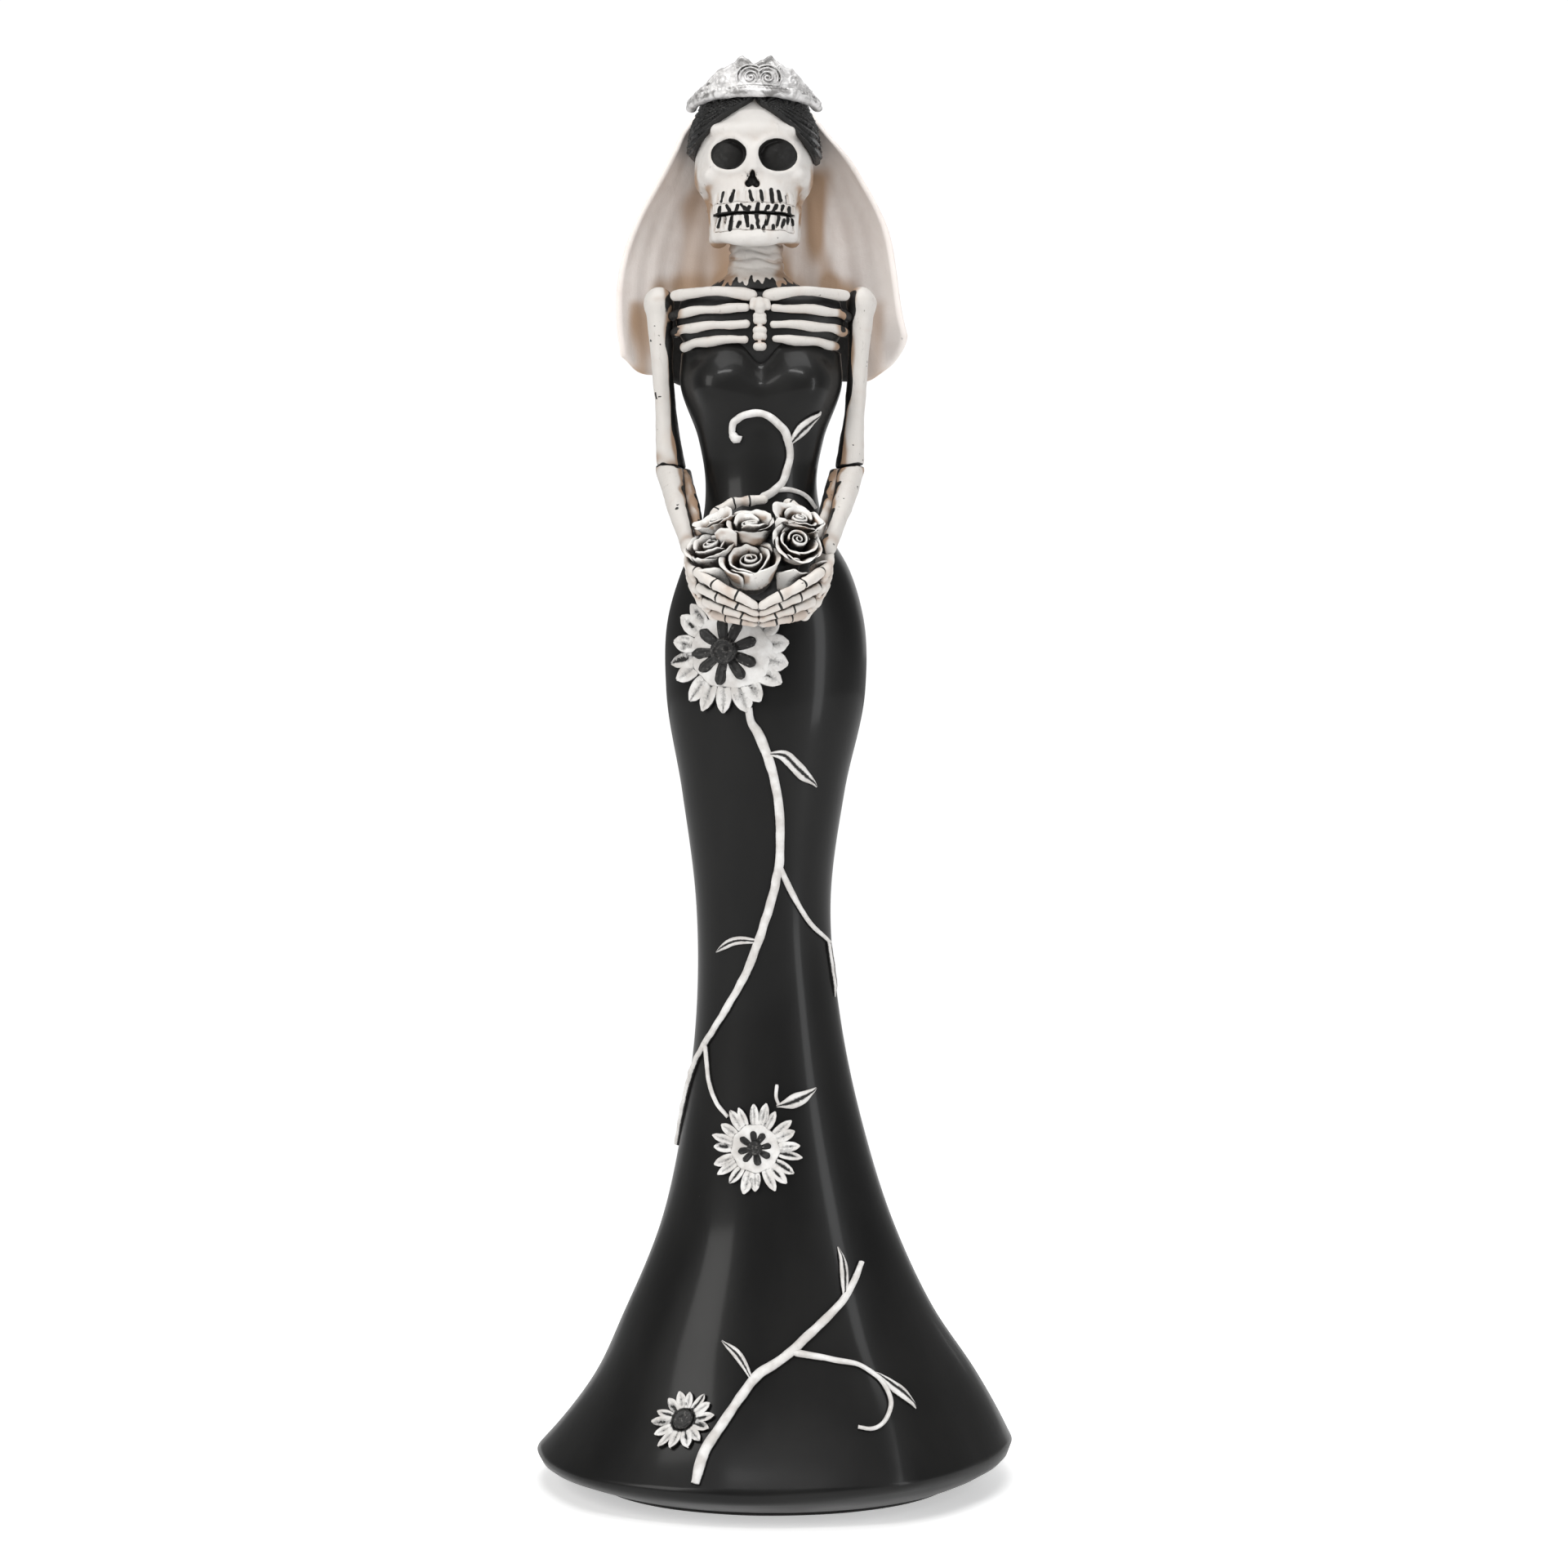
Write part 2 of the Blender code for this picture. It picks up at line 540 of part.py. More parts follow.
def add_rib_cage():
    for side, word in ((-1, "right"), (1, "left")):
        for number, height in enumerate(RIB_HEIGHTS):
            start = (11, 11, 13)[number]
            add_rib(f"{word}_rib_{number + 1}", side, height, start, (78, 74, 68)[number], 0.5)
        inner = np.array([BODY_X + side * 1.2, CHEST_Y - 8.6, CLAVICLE_HEIGHT - 0.6])
        outer = np.array([BODY_X + side * 18.2, CHEST_Y - 3.4, CLAVICLE_HEIGHT + 0.6])
        bend = (inner + outer) / 2 + np.array([0, -3.0, 0.5])
        route = smooth_route([inner, bend, outer], 8)
        sizes = [(1.05 * s, 0.9 * s) for s in (0.95, 1.1, 0.95, 0.9, 0.9, 0.95, 1.1, 0.9)]
        add_loft(f"{word}_clavicle", sweep_rings(route, sizes, (0, 0, 1)), BONE)
    blocks = (  # height and half width down each bone
        ("manubrium", ((253.1, 1.4), (252.2, 2.3), (250.4, 2.1), (249.6, 1.5))),
        ("sternum", ((248.9, 1.3), (247.6, 1.6), (246.6, 1.2), (245.4, 1.6), (244.3, 1.2),
                     (243.2, 1.4), (242.4, 1.0))),
    )
    for name, levels in blocks:
        route = [chest_point(0, h, GAP + 0.9) for h, _ in levels]
        add_loft(name, sweep_rings(route, [(w, 0.9) for _, w in levels], (1, 0, 0)), BONE)


def add_neck():
    """A stack of vertebrae: the radius swells once for each of them."""
    rows = NECK_RINGS * 3 + 1
    rings = []
    for row in range(rows):
        t = row / (rows - 1)
        flare = 1.9 * (1 - t) ** 6
        radius = NECK_RADIUS - 0.35 * t + flare + 0.28 * math.cos(2 * math.pi * NECK_RINGS * t)
        height = NECK_BOTTOM + (NECK_TOP - NECK_BOTTOM) * t
        circle = oval(height, radius, 0.8 * radius, 16)
        rings.append([(HEAD_X + 0.4 + x, NECK_Y + y, z) for x, y, z in circle])
    add_loft("neck_vertebrae", rings, BONE)


# ---------------------------------------------------------------- head


def head_point(turn, latitude, lift=0.0):
    """A point on the cranium, or lift millimetres outside it."""
    t, a = math.radians(turn), math.radians(latitude)
    sizes = np.array(CRANIUM_SIZE) + lift
    direction = np.array([math.cos(a) * math.sin(t), -math.cos(a) * math.cos(t), math.sin(a)])
    return np.array(CRANIUM_CENTRE) + sizes * direction


def add_skull():
    """Cranium and upper face, with the eye and nose openings cut into it."""
    rings = []
    for height, half_width, front, back in FACE_PROFILE:
        middle, depth = (front + back) / 2, (back - front) / 2
        ring = []
        for i in range(24):
            a = math.radians(15 * i)
            square = (abs(math.sin(a)) ** 2.3 + abs(math.cos(a)) ** 2.3) ** (-1 / 2.3)
            x, y = half_width * math.sin(a) * square, depth * math.cos(a) * square
            ring.append((HEAD_X + x, middle - y, height))
        rings.append(ring)
    for latitude in (0, 14, 27, 40, 53, 66, 80):
        rings.append([head_point(15 * i, latitude) for i in range(24)])
    skull = add_loft("skull", rings, BONE)
    for number, side in enumerate((-1, 1)):
        ball = [[], [], [], [], []]
        for ring, (t, s) in enumerate(((-1, 0.3), (-0.7, 0.72), (0, 1), (0.7, 0.72), (1, 0.3))):
            for i in range(12):
                a = math.radians(30 * i)
                x = HEAD_X + side * EYE_SPACING + EYE_SIZE[0] * s * math.cos(a)
                z = EYE_HEIGHT + EYE_SIZE[2] * s * math.sin(a)
                ball[ring].append((x, -11.0 + EYE_SIZE[1] * t, z))
        combine(skull, add_loft(f"eye_cutter_{number}", ball, INK), "DIFFERENCE")
    outline = ((-1.5, -0.6), (1.5, -0.6), (0.5, 2.2), (-0.5, 2.2))
    wedge = [[(HEAD_X + x, y, NOSE_HEIGHT + z) for x, z in outline] for y in (-14.0, -8.6)]
    combine(skull, add_loft("nose_cutter", wedge, INK), "DIFFERENCE")


def arch_rings(span, count, outline, bumps=0.0):
    """Sections around the dental arch; outline(turn) gives (low, high, thickness)."""
    rings = []
    for turn in np.linspace(-span, span, count):
        low, high, thickness = outline(turn)
        swell = bumps * abs(math.cos(math.radians(turn) * TEETH_PER_JAW * 90 / span))
        a = math.radians(turn)
        out = np.array([math.sin(a), -math.cos(a)])
        ring = []
        round_off = 0.25 * (high - low)
        for inset, height in ((0.25, low), (0, low + round_off), (0, high - round_off), (0.25, high),
                              (thickness, high), (thickness, low)):
            x, y = np.array(ARCH_CENTRE) + (np.array(ARCH_SIZE) + swell - inset) * out
            ring.append((x, y, height))
        rings.append(ring)
    return rings


def jaw_outline(turn):
    ramus = ease(62, 88, abs(turn))
    return CHIN_HEIGHT + 2.0 * ease(20, 80, abs(turn)), JAW_TOP + 8.0 * ramus, 2.5


def add_teeth():
    """The jaw and the two rows of teeth, each row swelling once for every tooth."""
    add_loft("jaw", arch_rings(98, 29, jaw_outline), BONE)
    lower = (JAW_TOP + GAP, MOUTH_HEIGHT - 0.2, TEETH_THICKNESS)
    upper = (MOUTH_HEIGHT + 0.2, FACE_PROFILE[0][0] - GAP, TEETH_THICKNESS)
    add_loft("lower_teeth", arch_rings(TEETH_SPREAD, 31, lambda turn: lower, 0.25), BONE)
    add_loft("upper_teeth", arch_rings(TEETH_SPREAD, 31, lambda turn: upper, 0.25), BONE)


def add_hair():
    """Two halves of parted hair, each a shell over the cranium from the hairline to the crown."""
    for side, word in ((-1, "right"), (1, "left")):
        outer, inner = [], []
        for turn in np.linspace(0, 180, 17):
            low = float(np.interp(turn, *zip(*HAIRLINE)))
            lows = np.linspace(low, 86, 8)
            tuck = [min(1, 0.35 + 1.6 * i / 7) for i in range(8)]
            lifts = [GAP + HAIR_THICKNESS * s for s in tuck]
            outer.append([head_point(side * turn, a, lift) for a, lift in zip(lows, lifts)])
            inner.append([head_point(side * turn, a, GAP) for a in lows])
        shift = np.array([side * GAP * 0.6, 0, 0])
        add_shell(f"{word}_hair", np.array(outer) + shift, np.array(inner) + shift, INK)


def add_tiara():
    centre = np.array([HEAD_X, CRANIUM_CENTRE[1], 0])

    def around(turn, radius, height):
        a = math.radians(turn)
        return centre + np.array([radius * math.sin(a), -radius * math.cos(a), height])

    band_top = BAND_HEIGHT + BAND_TALL
    section = ((0, BAND_HEIGHT), (0.3, BAND_HEIGHT + 1.1), (0, band_top), (-1.6, band_top),
               (-1.6, BAND_HEIGHT))
    turns = np.linspace(-BAND_SPREAD, BAND_SPREAD, 25)
    rings = [[around(turn, BAND_RADIUS + out, h) for out, h in section] for turn in turns]
    add_loft("tiara_band", rings, SILVER)
    outer, inner = [], []
    for turn in np.linspace(-90, 90, 29):
        tall = float(np.interp(abs(turn), *zip(*CREST_HEIGHTS)))
        tall += 0.35 * math.cos(math.radians(turn * 14))
        steps = [(band_top + GAP + tall * s, BAND_RADIUS - 0.2 - 0.24 * tall * s) for s in (0, 0.5, 1)]
        outer.append([around(turn, radius, height) for height, radius in steps])
        inner.append([around(turn, radius - 1.1, height) for height, radius in steps])
    add_shell("tiara_crest", outer, inner, SILVER)
    loop = []
    for i in range(28):  # a heart-shaped scroll in front of the crest
        t = 2 * math.pi * i / 28
        x = 3.1 * math.sin(t) ** 3
        z = 0.19 * (13 * math.cos(t) - 5 * math.cos(2 * t) - 2 * math.cos(3 * t))
        drop = (x / BAND_RADIUS) ** 2 * BAND_RADIUS / 2
        lean = 0.24 * (z + 2.6)
        loop.append((HEAD_X + x, centre[1] - BAND_RADIUS + drop + lean - 0.55, band_top + 3.9 + z))
    loop = np.array(loop)
    section = ((0.45, 0.1), (0, -0.55), (-0.45, 0.1))
    rings = []
    for i in range(28):
        ahead = loop[(i + 1) % 28] - loop[i - 1]
        side = np.cross((0, -1, 0), ahead / np.linalg.norm(ahead))
        rings.append([loop[i] + side * across + (0, y, 0) for across, y in section])
    points = np.array(rings).reshape(-1, 3)
    faces = []
    for i in range(28):
        for j in range(3):
            here, after = 3 * i, 3 * ((i + 1) % 28)
            faces.append((here + j, here + (j + 1) % 3, after + (j + 1) % 3, after + j))
    add_solid("tiara_heart", points, faces, SILVER)


# ---------------------------------------------------------------- veil


def veil_point(across, down, lift):
    """A point of the veil: across runs -1..1 from the figure's right to its left, down 0..1."""
    top, bottom = VEIL_PROFILE[0][0], 238.5 + 5.0 * abs(across) ** 3 + 5.5 * max(across, 0) ** 8
    height = top + (bottom - top) * down
    rising = [(-row[0], *row[1:]) for row in VEIL_PROFILE]
    right, left, depth, half_angle, centre_y = spline(rising, -height)
    angle = math.radians(across * half_angle)
    width = right if across < 0 else left
    fold = 0.7 * down * math.sin(across * 13 + 0.6) + 0.35 * down * math.sin(across * 29)
    x = CRANIUM_CENTRE[0] + (width + lift) * math.sin(angle)
    return np.array([x, centre_y + (depth + fold + lift) * math.cos(angle), height])


def add_veil():
    grids = []
    for lift in (VEIL_THICKNESS, 0.0):
        grids.append([
            [veil_point(across, down, lift) for across in np.linspace(-1, 1, VEIL_COLUMNS)]
            for down in np.linspace(0, 1, VEIL_ROWS)
        ])
    add_shell("veil", grids[0], grids[1], IVORY)


# ---------------------------------------------------------------- arms and hands


def bone_rings(start, end, shaft, head, foot):
    """A long bone: a slim shaft that swells into a head and a foot."""
    start, end = np.asarray(start, float), np.asarray(end, float)
    stations = ((0, 0.5 * head), (0.03, 0.95 * head), (0.09, head), (0.2, 0.5 * (head + shaft)),
                (0.35, shaft), (0.65, shaft), (0.82, 0.5 * (foot + shaft)), (0.93, foot),
                (0.98, 0.9 * foot), (1, 0.5 * foot))
    route = [start + (end - start) * t for t, _ in stations]
    return sweep_rings(route, [(r, r) for _, r in stations], (1, 0, 0), 10)


def bowl_point(azimuth, elevation, lift=0.0):
    a, e = math.radians(azimuth), math.radians(elevation)
    direction = np.array([math.cos(e) * math.sin(a), -math.cos(e) * math.cos(a), math.sin(e)])
    return np.array(BOWL_CENTRE) + (BOWL_RADIUS + lift) * direction


def finger_rings(number):
    """One finger of the right hand, swelling at each of its joints."""
    from_azimuth, from_elevation, to_azimuth, to_elevation = FINGERS[number]
    rings_count = 10
    route, sizes = [], []
    for i in range(rings_count):
        t = i / (rings_count - 1)
        bulge = 1 + 0.16 * math.cos(2 * math.pi * 3 * t)
        radius = (1.12 - 0.34 * t) * bulge * (0.6 if i in (0, rings_count - 1) else 1)
        route.append(bowl_point(from_azimuth + (to_azimuth - from_azimuth) * t,
                                from_elevation + (to_elevation - from_elevation) * t))
        sizes.append((radius, radius))
    return sweep_rings(route, sizes, (0.2, -0.4, 1))


def add_palm(name, place):
    """The back of the hand: a curved plate beside the fingers' first joints."""
    first_joints = [(-finger[1], finger[0]) for finger in FINGERS]
    grids = []
    for lift in (1.5, -0.3):
        grid = []
        for elevation in np.linspace(PALM_TOP, PALM_BOTTOM, 8):
            front = float(np.interp(-elevation, *zip(*first_joints))) - 6
            spread = PALM_SPREAD * (1 - 0.35 * ease(-20, PALM_TOP, elevation))
            azimuths = [front - spread * share for share in (0, 0.3, 0.65, 1)]
            grid.append([place(bowl_point(azimuth, elevation, lift)) for azimuth in azimuths])
        grids.append(grid)
    add_shell(name, grids[0], grids[1], BONE)


def add_arm(word, side):
    """side is -1 for the figure's right arm and 1 for its left, which is mirrored."""
    place = (lambda p: p) if side < 0 else mirrored

    def add(name, rings):
        add_loft(f"{word}_{name}", [[place(p) for p in ring] for ring in rings], BONE)

    shoulder, elbow, wrist = (np.array(p) for p in (SHOULDER, ELBOW, WRIST))
    add("humerus", bone_rings(shoulder + (0, 0, 2.6), elbow + (0, 0, 0.6), 2.45, 3.3, 3.1))
    add("radius", bone_rings(elbow + (-1.2, -2.4, -0.9), wrist + (-0.6, -0.4, -0.4), 1.75, 2.2, 1.7))
    add("ulna", bone_rings(elbow + (2.4, 0.9, -0.7), wrist + (1.9, 3.6, 2.6), 1.3, 1.6, 1.1))
    add_palm(f"{word}_palm", place)
    for number in range(4):
        add(f"finger_{number + 1}", finger_rings(number))
    thumb = smooth_route(THUMB, 21)
    thumb = thumb[::2] if side < 0 else thumb[:int(21 * LEFT_THUMB_LENGTH)]
    radii = [0.6] + [0.95 + 0.15 * math.cos(i * 1.6) for i in range(len(thumb) - 2)] + [0.5]
    add("thumb", sweep_rings(thumb, [(r, r) for r in radii], (0, -1, 0), 6))


# ---------------------------------------------------------------- bouquet


def add_bouquet():
    centre, sizes = np.array(BOUQUET_CENTRE), np.array(BOUQUET_SIZE)
    rings = []
    for latitude in (-75, -50, -25, 0, 25, 50, 75):
        a = math.radians(latitude)
        ring = [np.array([math.cos(a) * math.sin(t), -math.cos(a) * math.cos(t), math.sin(a)])
                for t in np.arange(16) * math.pi / 8]
        rings.append([centre + sizes * p for p in ring])
    add_loft("bouquet_core", rings, INK)
    for name, base, azimuth, elevation, radius, length in ROSES:
        a, e = math.radians(azimuth), math.radians(elevation)
        axis = np.array([math.cos(e) * math.sin(a), -math.cos(e) * math.cos(a), math.sin(e)])
        across = np.cross(axis, (0, 0, 1))
        across = across / np.linalg.norm(across)
        upward = np.cross(across, axis)
        profile = ((0, 0.45), (0.18, 0.8), (0.55, 0.95), (0.85, 1), (1, 0.92), (0.95, 0.72),
                   (0.62, 0.52), (0.7, 0.44), (1.0, 0.36), (1.02, 0.2))
        rings = []
        for along, share in profile:
            ring = []
            for i in range(12):
                t = math.radians(30 * i)
                ruffle = 1 + 0.07 * math.cos(3 * t + 4 * along) * share
                out = (across * math.cos(t) + upward * math.sin(t)) * radius * share * ruffle
                ring.append(np.array(base) + axis * length * along + out)
            rings.append(ring)
        add_loft(name, rings, IVORY)


clear_scene()
add_gown()
add_felt()
add_flowers()
add_vines()
add_chest()
add_rib_cage()
add_neck()
add_skull()
add_teeth()
add_hair()
add_tiara()
add_veil()
add_arm("right", -1)
add_arm("left", 1)
add_bouquet()
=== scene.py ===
"""Looks of the skeleton bride figurine: every casting with its carved surface and its paint.

All lengths are millimetres and all angles degrees; meshes are scaled to metres as they are made.
The figure faces -Y and has its own right side at -X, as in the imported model.
"""

import math

import bpy
import numpy as np
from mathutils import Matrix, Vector


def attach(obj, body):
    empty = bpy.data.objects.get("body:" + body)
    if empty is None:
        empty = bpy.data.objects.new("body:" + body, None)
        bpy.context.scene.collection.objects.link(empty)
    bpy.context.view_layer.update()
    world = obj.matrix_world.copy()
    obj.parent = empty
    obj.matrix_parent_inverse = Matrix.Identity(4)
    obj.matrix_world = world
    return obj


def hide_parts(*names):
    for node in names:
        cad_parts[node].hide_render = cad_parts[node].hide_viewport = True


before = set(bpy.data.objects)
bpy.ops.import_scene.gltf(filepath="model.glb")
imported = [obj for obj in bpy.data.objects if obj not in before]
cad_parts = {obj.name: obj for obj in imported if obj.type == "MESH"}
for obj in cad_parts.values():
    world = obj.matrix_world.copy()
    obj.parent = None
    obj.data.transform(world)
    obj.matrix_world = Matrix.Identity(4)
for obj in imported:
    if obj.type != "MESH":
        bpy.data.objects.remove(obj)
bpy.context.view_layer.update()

METRES = 0.001
BODY_X = -3.2  # the upper body leans a little to the figure's right
HEAD_X = -4.5

# Gown: height, half width, depth to the front, depth to the back, centre x, centre y
GOWN_PROFILE = (
    (8, 51.0, 40.5, 40.0, 0.0, 0.0),
    (13, 47.5, 37.0, 37.0, 1.0, 0.0),
    (22, 41.5, 32.0, 32.5, 2.0, 0.5),
    (36, 33.5, 25.5, 26.5, 1.0, 0.5),
    (54, 25.5, 20.0, 21.0, 0.5, 1.0),
    (76, 19.5, 16.0, 16.5, -0.5, 1.0),
    (100, 15.5, 13.0, 13.0, -1.5, 0.5),
    (124, 14.5, 12.5, 12.0, -2.5, 0.0),
    (148, 17.5, 14.0, 14.0, -2.5, 0.0),
    (170, 21.5, 16.0, 17.0, -2.0, 1.0),
    (186, 21.0, 15.0, 17.0, -2.0, 1.0),
    (196, 18.0, 12.5, 14.0, -2.0, 1.0),
    (205, 13.5, 10.5, 10.5, -2.5, 1.0),
    (214, 12.0, 9.5, 9.0, -3.0, 1.0),
    (224, 13.5, 10.0, 9.5, -3.0, 1.0),
    (236, 17.5, 10.5, 10.0, -3.0, 1.0),
    (243, 17.5, 10.0, 10.0, -3.0, 1.0),
)
HEM_HEIGHT, NECKLINE_HEIGHT = 8.0, 242.5
BODY_FORMS = (  # turn, height, spread in turn, spread in height, rise
    (-33, 233.5, 21, 6.5, 3.4),
    (33, 233.5, 21, 6.5, 3.4),
    (-148, 177, 26, 13, 1.6),
    (148, 177, 26, 13, 1.6),
)
HEM_FOLDS = ((30, 1.5), (-6, -1.1), (62, -0.9), (-50, 0.8), (115, 1.2), (160, -1.2), (-125, 1.1))
HEM_FOLD_SPREAD, HEM_FOLD_TOP, HEM_TILT = 13.0, 75.0, 1.0
RELIEF_ROOT = -0.35  # how far the relief is sunk into the gown
HEM_ROWS = 14  # of the mesh, that are uneven
UNDERSIDE_PROFILE = ((6.2, 50.1, 39.4), (5.2, 49.0, 38.3), (3.4, 45.6, 34.7), (2.0, 42.4, 31.5),
                     (1.35, 40.8, 30.0), (1.35, 20, 15))  # height, half width, depth
LIP_PROFILE = ((0.25, 0.22), (0.7, 0.26), (1.15, 0.05), (1.25, -0.8))  # inwards and up from the neckline
POCKET_FLOOR = 238.4  # where the chest stands in the gown


# ---------------------------------------------------------------- curves and surfaces


def spline(table, at):
    """The columns of table on a smooth curve; at may be one value or an array of them."""
    rows = np.asarray(table, float)
    keys, values = rows[:, 0], rows[:, 1:]
    slopes = np.gradient(values, keys, axis=0)
    at = np.asarray(at, float)
    i = np.clip(np.searchsorted(keys, at) - 1, 0, len(keys) - 2)
    span = (keys[i + 1] - keys[i])[..., None]
    t = np.clip((at - keys[i])[..., None] / span, 0, 1)
    return (
        (2 * t**3 - 3 * t**2 + 1) * values[i]
        + (t**3 - 2 * t**2 + t) * span * slopes[i]
        + (3 * t**2 - 2 * t**3) * values[i + 1]
        + (t**3 - t**2) * span * slopes[i + 1]
    )


def route(points, count):
    """count points evenly along a smooth curve through the given ones."""
    points = np.asarray(points, float)
    along = np.concatenate([[0], np.cumsum(np.linalg.norm(np.diff(points, axis=0), axis=1))])
    return spline(np.column_stack([along, points]), np.linspace(0, along[-1], count))


def ease(low, high, value):
    """A smooth rise from 0 at low to 1 at high, or a fall if low is above high."""
    t = np.clip((np.asarray(value, float) - low) / (high - low), 0, 1)
    return t * t * (3 - 2 * t)


def unit(v):
    """Vectors scaled to length 1."""
    return v / np.maximum(np.linalg.norm(v, axis=-1, keepdims=True), 1e-9)


def gown_point(turn, height, lift=0.0):
    """Points on the gown's outer surface, turn degrees from the front towards +X."""
    turn = (np.asarray(turn, float) + 180) % 360 - 180
    turn, height = np.broadcast_arrays(turn, np.asarray(height, float))
    half_width, front, back, centre_x, centre_y = np.moveaxis(spline(GOWN_PROFILE, height), -1, 0)
    angle = np.radians(turn)
    rise = np.zeros_like(angle) + lift
    for form_turn, form_height, turn_spread, height_spread, amount in BODY_FORMS:
        off = ((turn - form_turn) / turn_spread) ** 2 + ((height - form_height) / height_spread) ** 2
        rise = rise + amount * np.exp(-off)
    flare = (1 - ease(HEM_HEIGHT, HEM_FOLD_TOP, height)) ** 2
    for fold_turn, amount in HEM_FOLDS:
        off = (turn - fold_turn + 180) % 360 - 180
        rise = rise + amount * flare * np.exp(-((off / HEM_FOLD_SPREAD) ** 2))
    depth = np.where(np.cos(angle) > 0, front, back)
    tilt = HEM_TILT * np.sin(angle) * (1 - ease(HEM_HEIGHT, 40, height))
    return np.stack([
        centre_x + (half_width + rise) * np.sin(angle),
        centre_y - (depth + rise) * np.cos(angle),
        height + tilt,
    ], axis=-1)


def gown_frame(turn, height):
    """Unit vectors on the gown: east, up the cloth, and out of it."""
    east = unit(gown_point(turn + 1, height) - gown_point(turn - 1, height))
    up = unit(gown_point(turn, height + 0.5) - gown_point(turn, height - 0.5))
    out = unit(np.cross(east, up))
    return east, unit(np.cross(out, east)), out


def gown_offset(turn, height, right, up, lift):
    """Points right and up millimetres along the cloth from (turn, height), lifted off it."""
    per_degree = np.linalg.norm(gown_point(turn + 1, height) - gown_point(turn - 1, height), axis=-1) / 2
    middle = turn + right / per_degree / 2
    per_degree = np.linalg.norm(gown_point(middle + 1, height) - gown_point(middle - 1, height), axis=-1) / 2
    slope = np.linalg.norm(gown_point(turn, height + 1) - gown_point(turn, height - 1), axis=-1) / 2
    turn, height = turn + right / per_degree, height + up / slope
    return gown_point(turn, height) + gown_frame(turn, height)[2] * np.asarray(lift)[..., None]


# ---------------------------------------------------------------- noise


def hashed(cell):
    """A repeatable value from 0 to 1 for each row of three whole numbers."""
    mixed = (cell[..., 0] * 73856093) ^ (cell[..., 1] * 19349663) ^ (cell[..., 2] * 83492791)
    mixed = (mixed ^ (mixed >> 13)) * 1274126177 & 0x7FFFFFFF
    return ((mixed ^ (mixed >> 16)) & 0xFFFF) / 65535.0


def noise_at(points, scale, seed=0):
    """Smooth noise from -1 to 1; one wave is about scale millimetres."""
    spot = np.asarray(points, float) / scale + seed * 17.3
    base = np.floor(spot).astype(np.int64)
    part = spot - base
    part = part * part * (3 - 2 * part)
    total = 0.0
    for corner in range(8):
        step = np.array([corner & 1, corner >> 1 & 1, corner >> 2])
        weight = np.prod(np.where(step, part, 1 - part), axis=-1)
        total = total + weight * hashed(base + step)
    return total * 2 - 1


# ---------------------------------------------------------------- meshes


def new_object(name, points, faces, material, nodes, marks=None):
    """A mesh in millimetres becomes a piece that stands for the named CAD nodes."""
    mesh = bpy.data.meshes.new(name)
    faces = np.asarray(faces)
    mesh.vertices.add(len(points))
    mesh.vertices.foreach_set("co", (np.asarray(points, float) * METRES).ravel())
    mesh.loops.add(faces.size)
    mesh.loops.foreach_set("vertex_index", faces.ravel().astype(np.int32))
    mesh.polygons.add(len(faces))
    mesh.polygons.foreach_set("loop_start", np.arange(0, faces.size, faces.shape[1], dtype=np.int32))
    mesh.update(calc_edges=True)
    mesh.validate()
    mesh.shade_smooth()
    for key, values in (marks or {}).items():
        mesh.attributes.new(key, "FLOAT", "POINT").data.foreach_set("value", np.asarray(values, np.float32))
    mesh.materials.append(material)
    made = bpy.data.objects.new(name, mesh)
    bpy.context.scene.collection.objects.link(made)
    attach(made, "root")
    if nodes:
        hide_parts(*nodes)
    return made


def grid_faces(rows, columns, wrap=False, start=0):
    """Quads of a grid of points, whose columns close into a ring if wrap is set."""
    r, c = np.meshgrid(np.arange(rows - 1), np.arange(columns if wrap else columns - 1), indexing="ij")
    here, below, after = r * columns, (r + 1) * columns, (c + 1) % columns
    return np.stack([here + c, here + after, below + after, below + c], -1).reshape(-1, 4) + start


def tube_mesh(rings):
    """Points and quads of a closed tube: its rings, and a fan of quads over each end."""
    rings = np.asarray(rings, float)
    count, sides = rings.shape[:2]
    ends = np.stack([rings[0].mean(0), rings[-1].mean(0)])
    low = ends[0] + (rings[0] - ends[0]) * 0.02
    high = ends[1] + (rings[-1] - ends[1]) * 0.02
    full = np.concatenate([low[None], rings, high[None]])
    return full.reshape(-1, 3), grid_faces(count + 2, sides, wrap=True)


def shell_mesh(outer, inner):
    """Points and quads of a curved sheet with thickness, from two grids of points."""
    rows, columns = outer.shape[:2]
    second = rows * columns
    faces = [grid_faces(rows, columns), grid_faces(rows, columns, start=second)[:, ::-1]]
    border = [(0, c) for c in range(columns)] + [(r, columns - 1) for r in range(1, rows)]
    border += [(rows - 1, c) for c in range(columns - 2, -1, -1)] + [(r, 0) for r in range(rows - 2, 0, -1)]
    ring = np.array([r * columns + c for r, c in border])
    after = np.roll(ring, -1)
    faces.append(np.stack([after, ring, second + ring, second + after], -1))
    return np.concatenate([outer.reshape(-1, 3), inner.reshape(-1, 3)]), np.concatenate(faces)


def joined(parts):
    """One mesh from several: points, quads, then any values that go with the points."""
    faces, start = [], 0
    for points, part_faces, *_ in parts:
        faces.append(part_faces + start)
        start += len(points)
    columns = [np.concatenate(column) for k, column in enumerate(zip(*parts)) if k != 1]
    return columns[0], np.concatenate(faces), *columns[1:]


# ---------------------------------------------------------------- carved solids


FAR = 1e3  # a distance beyond any solid


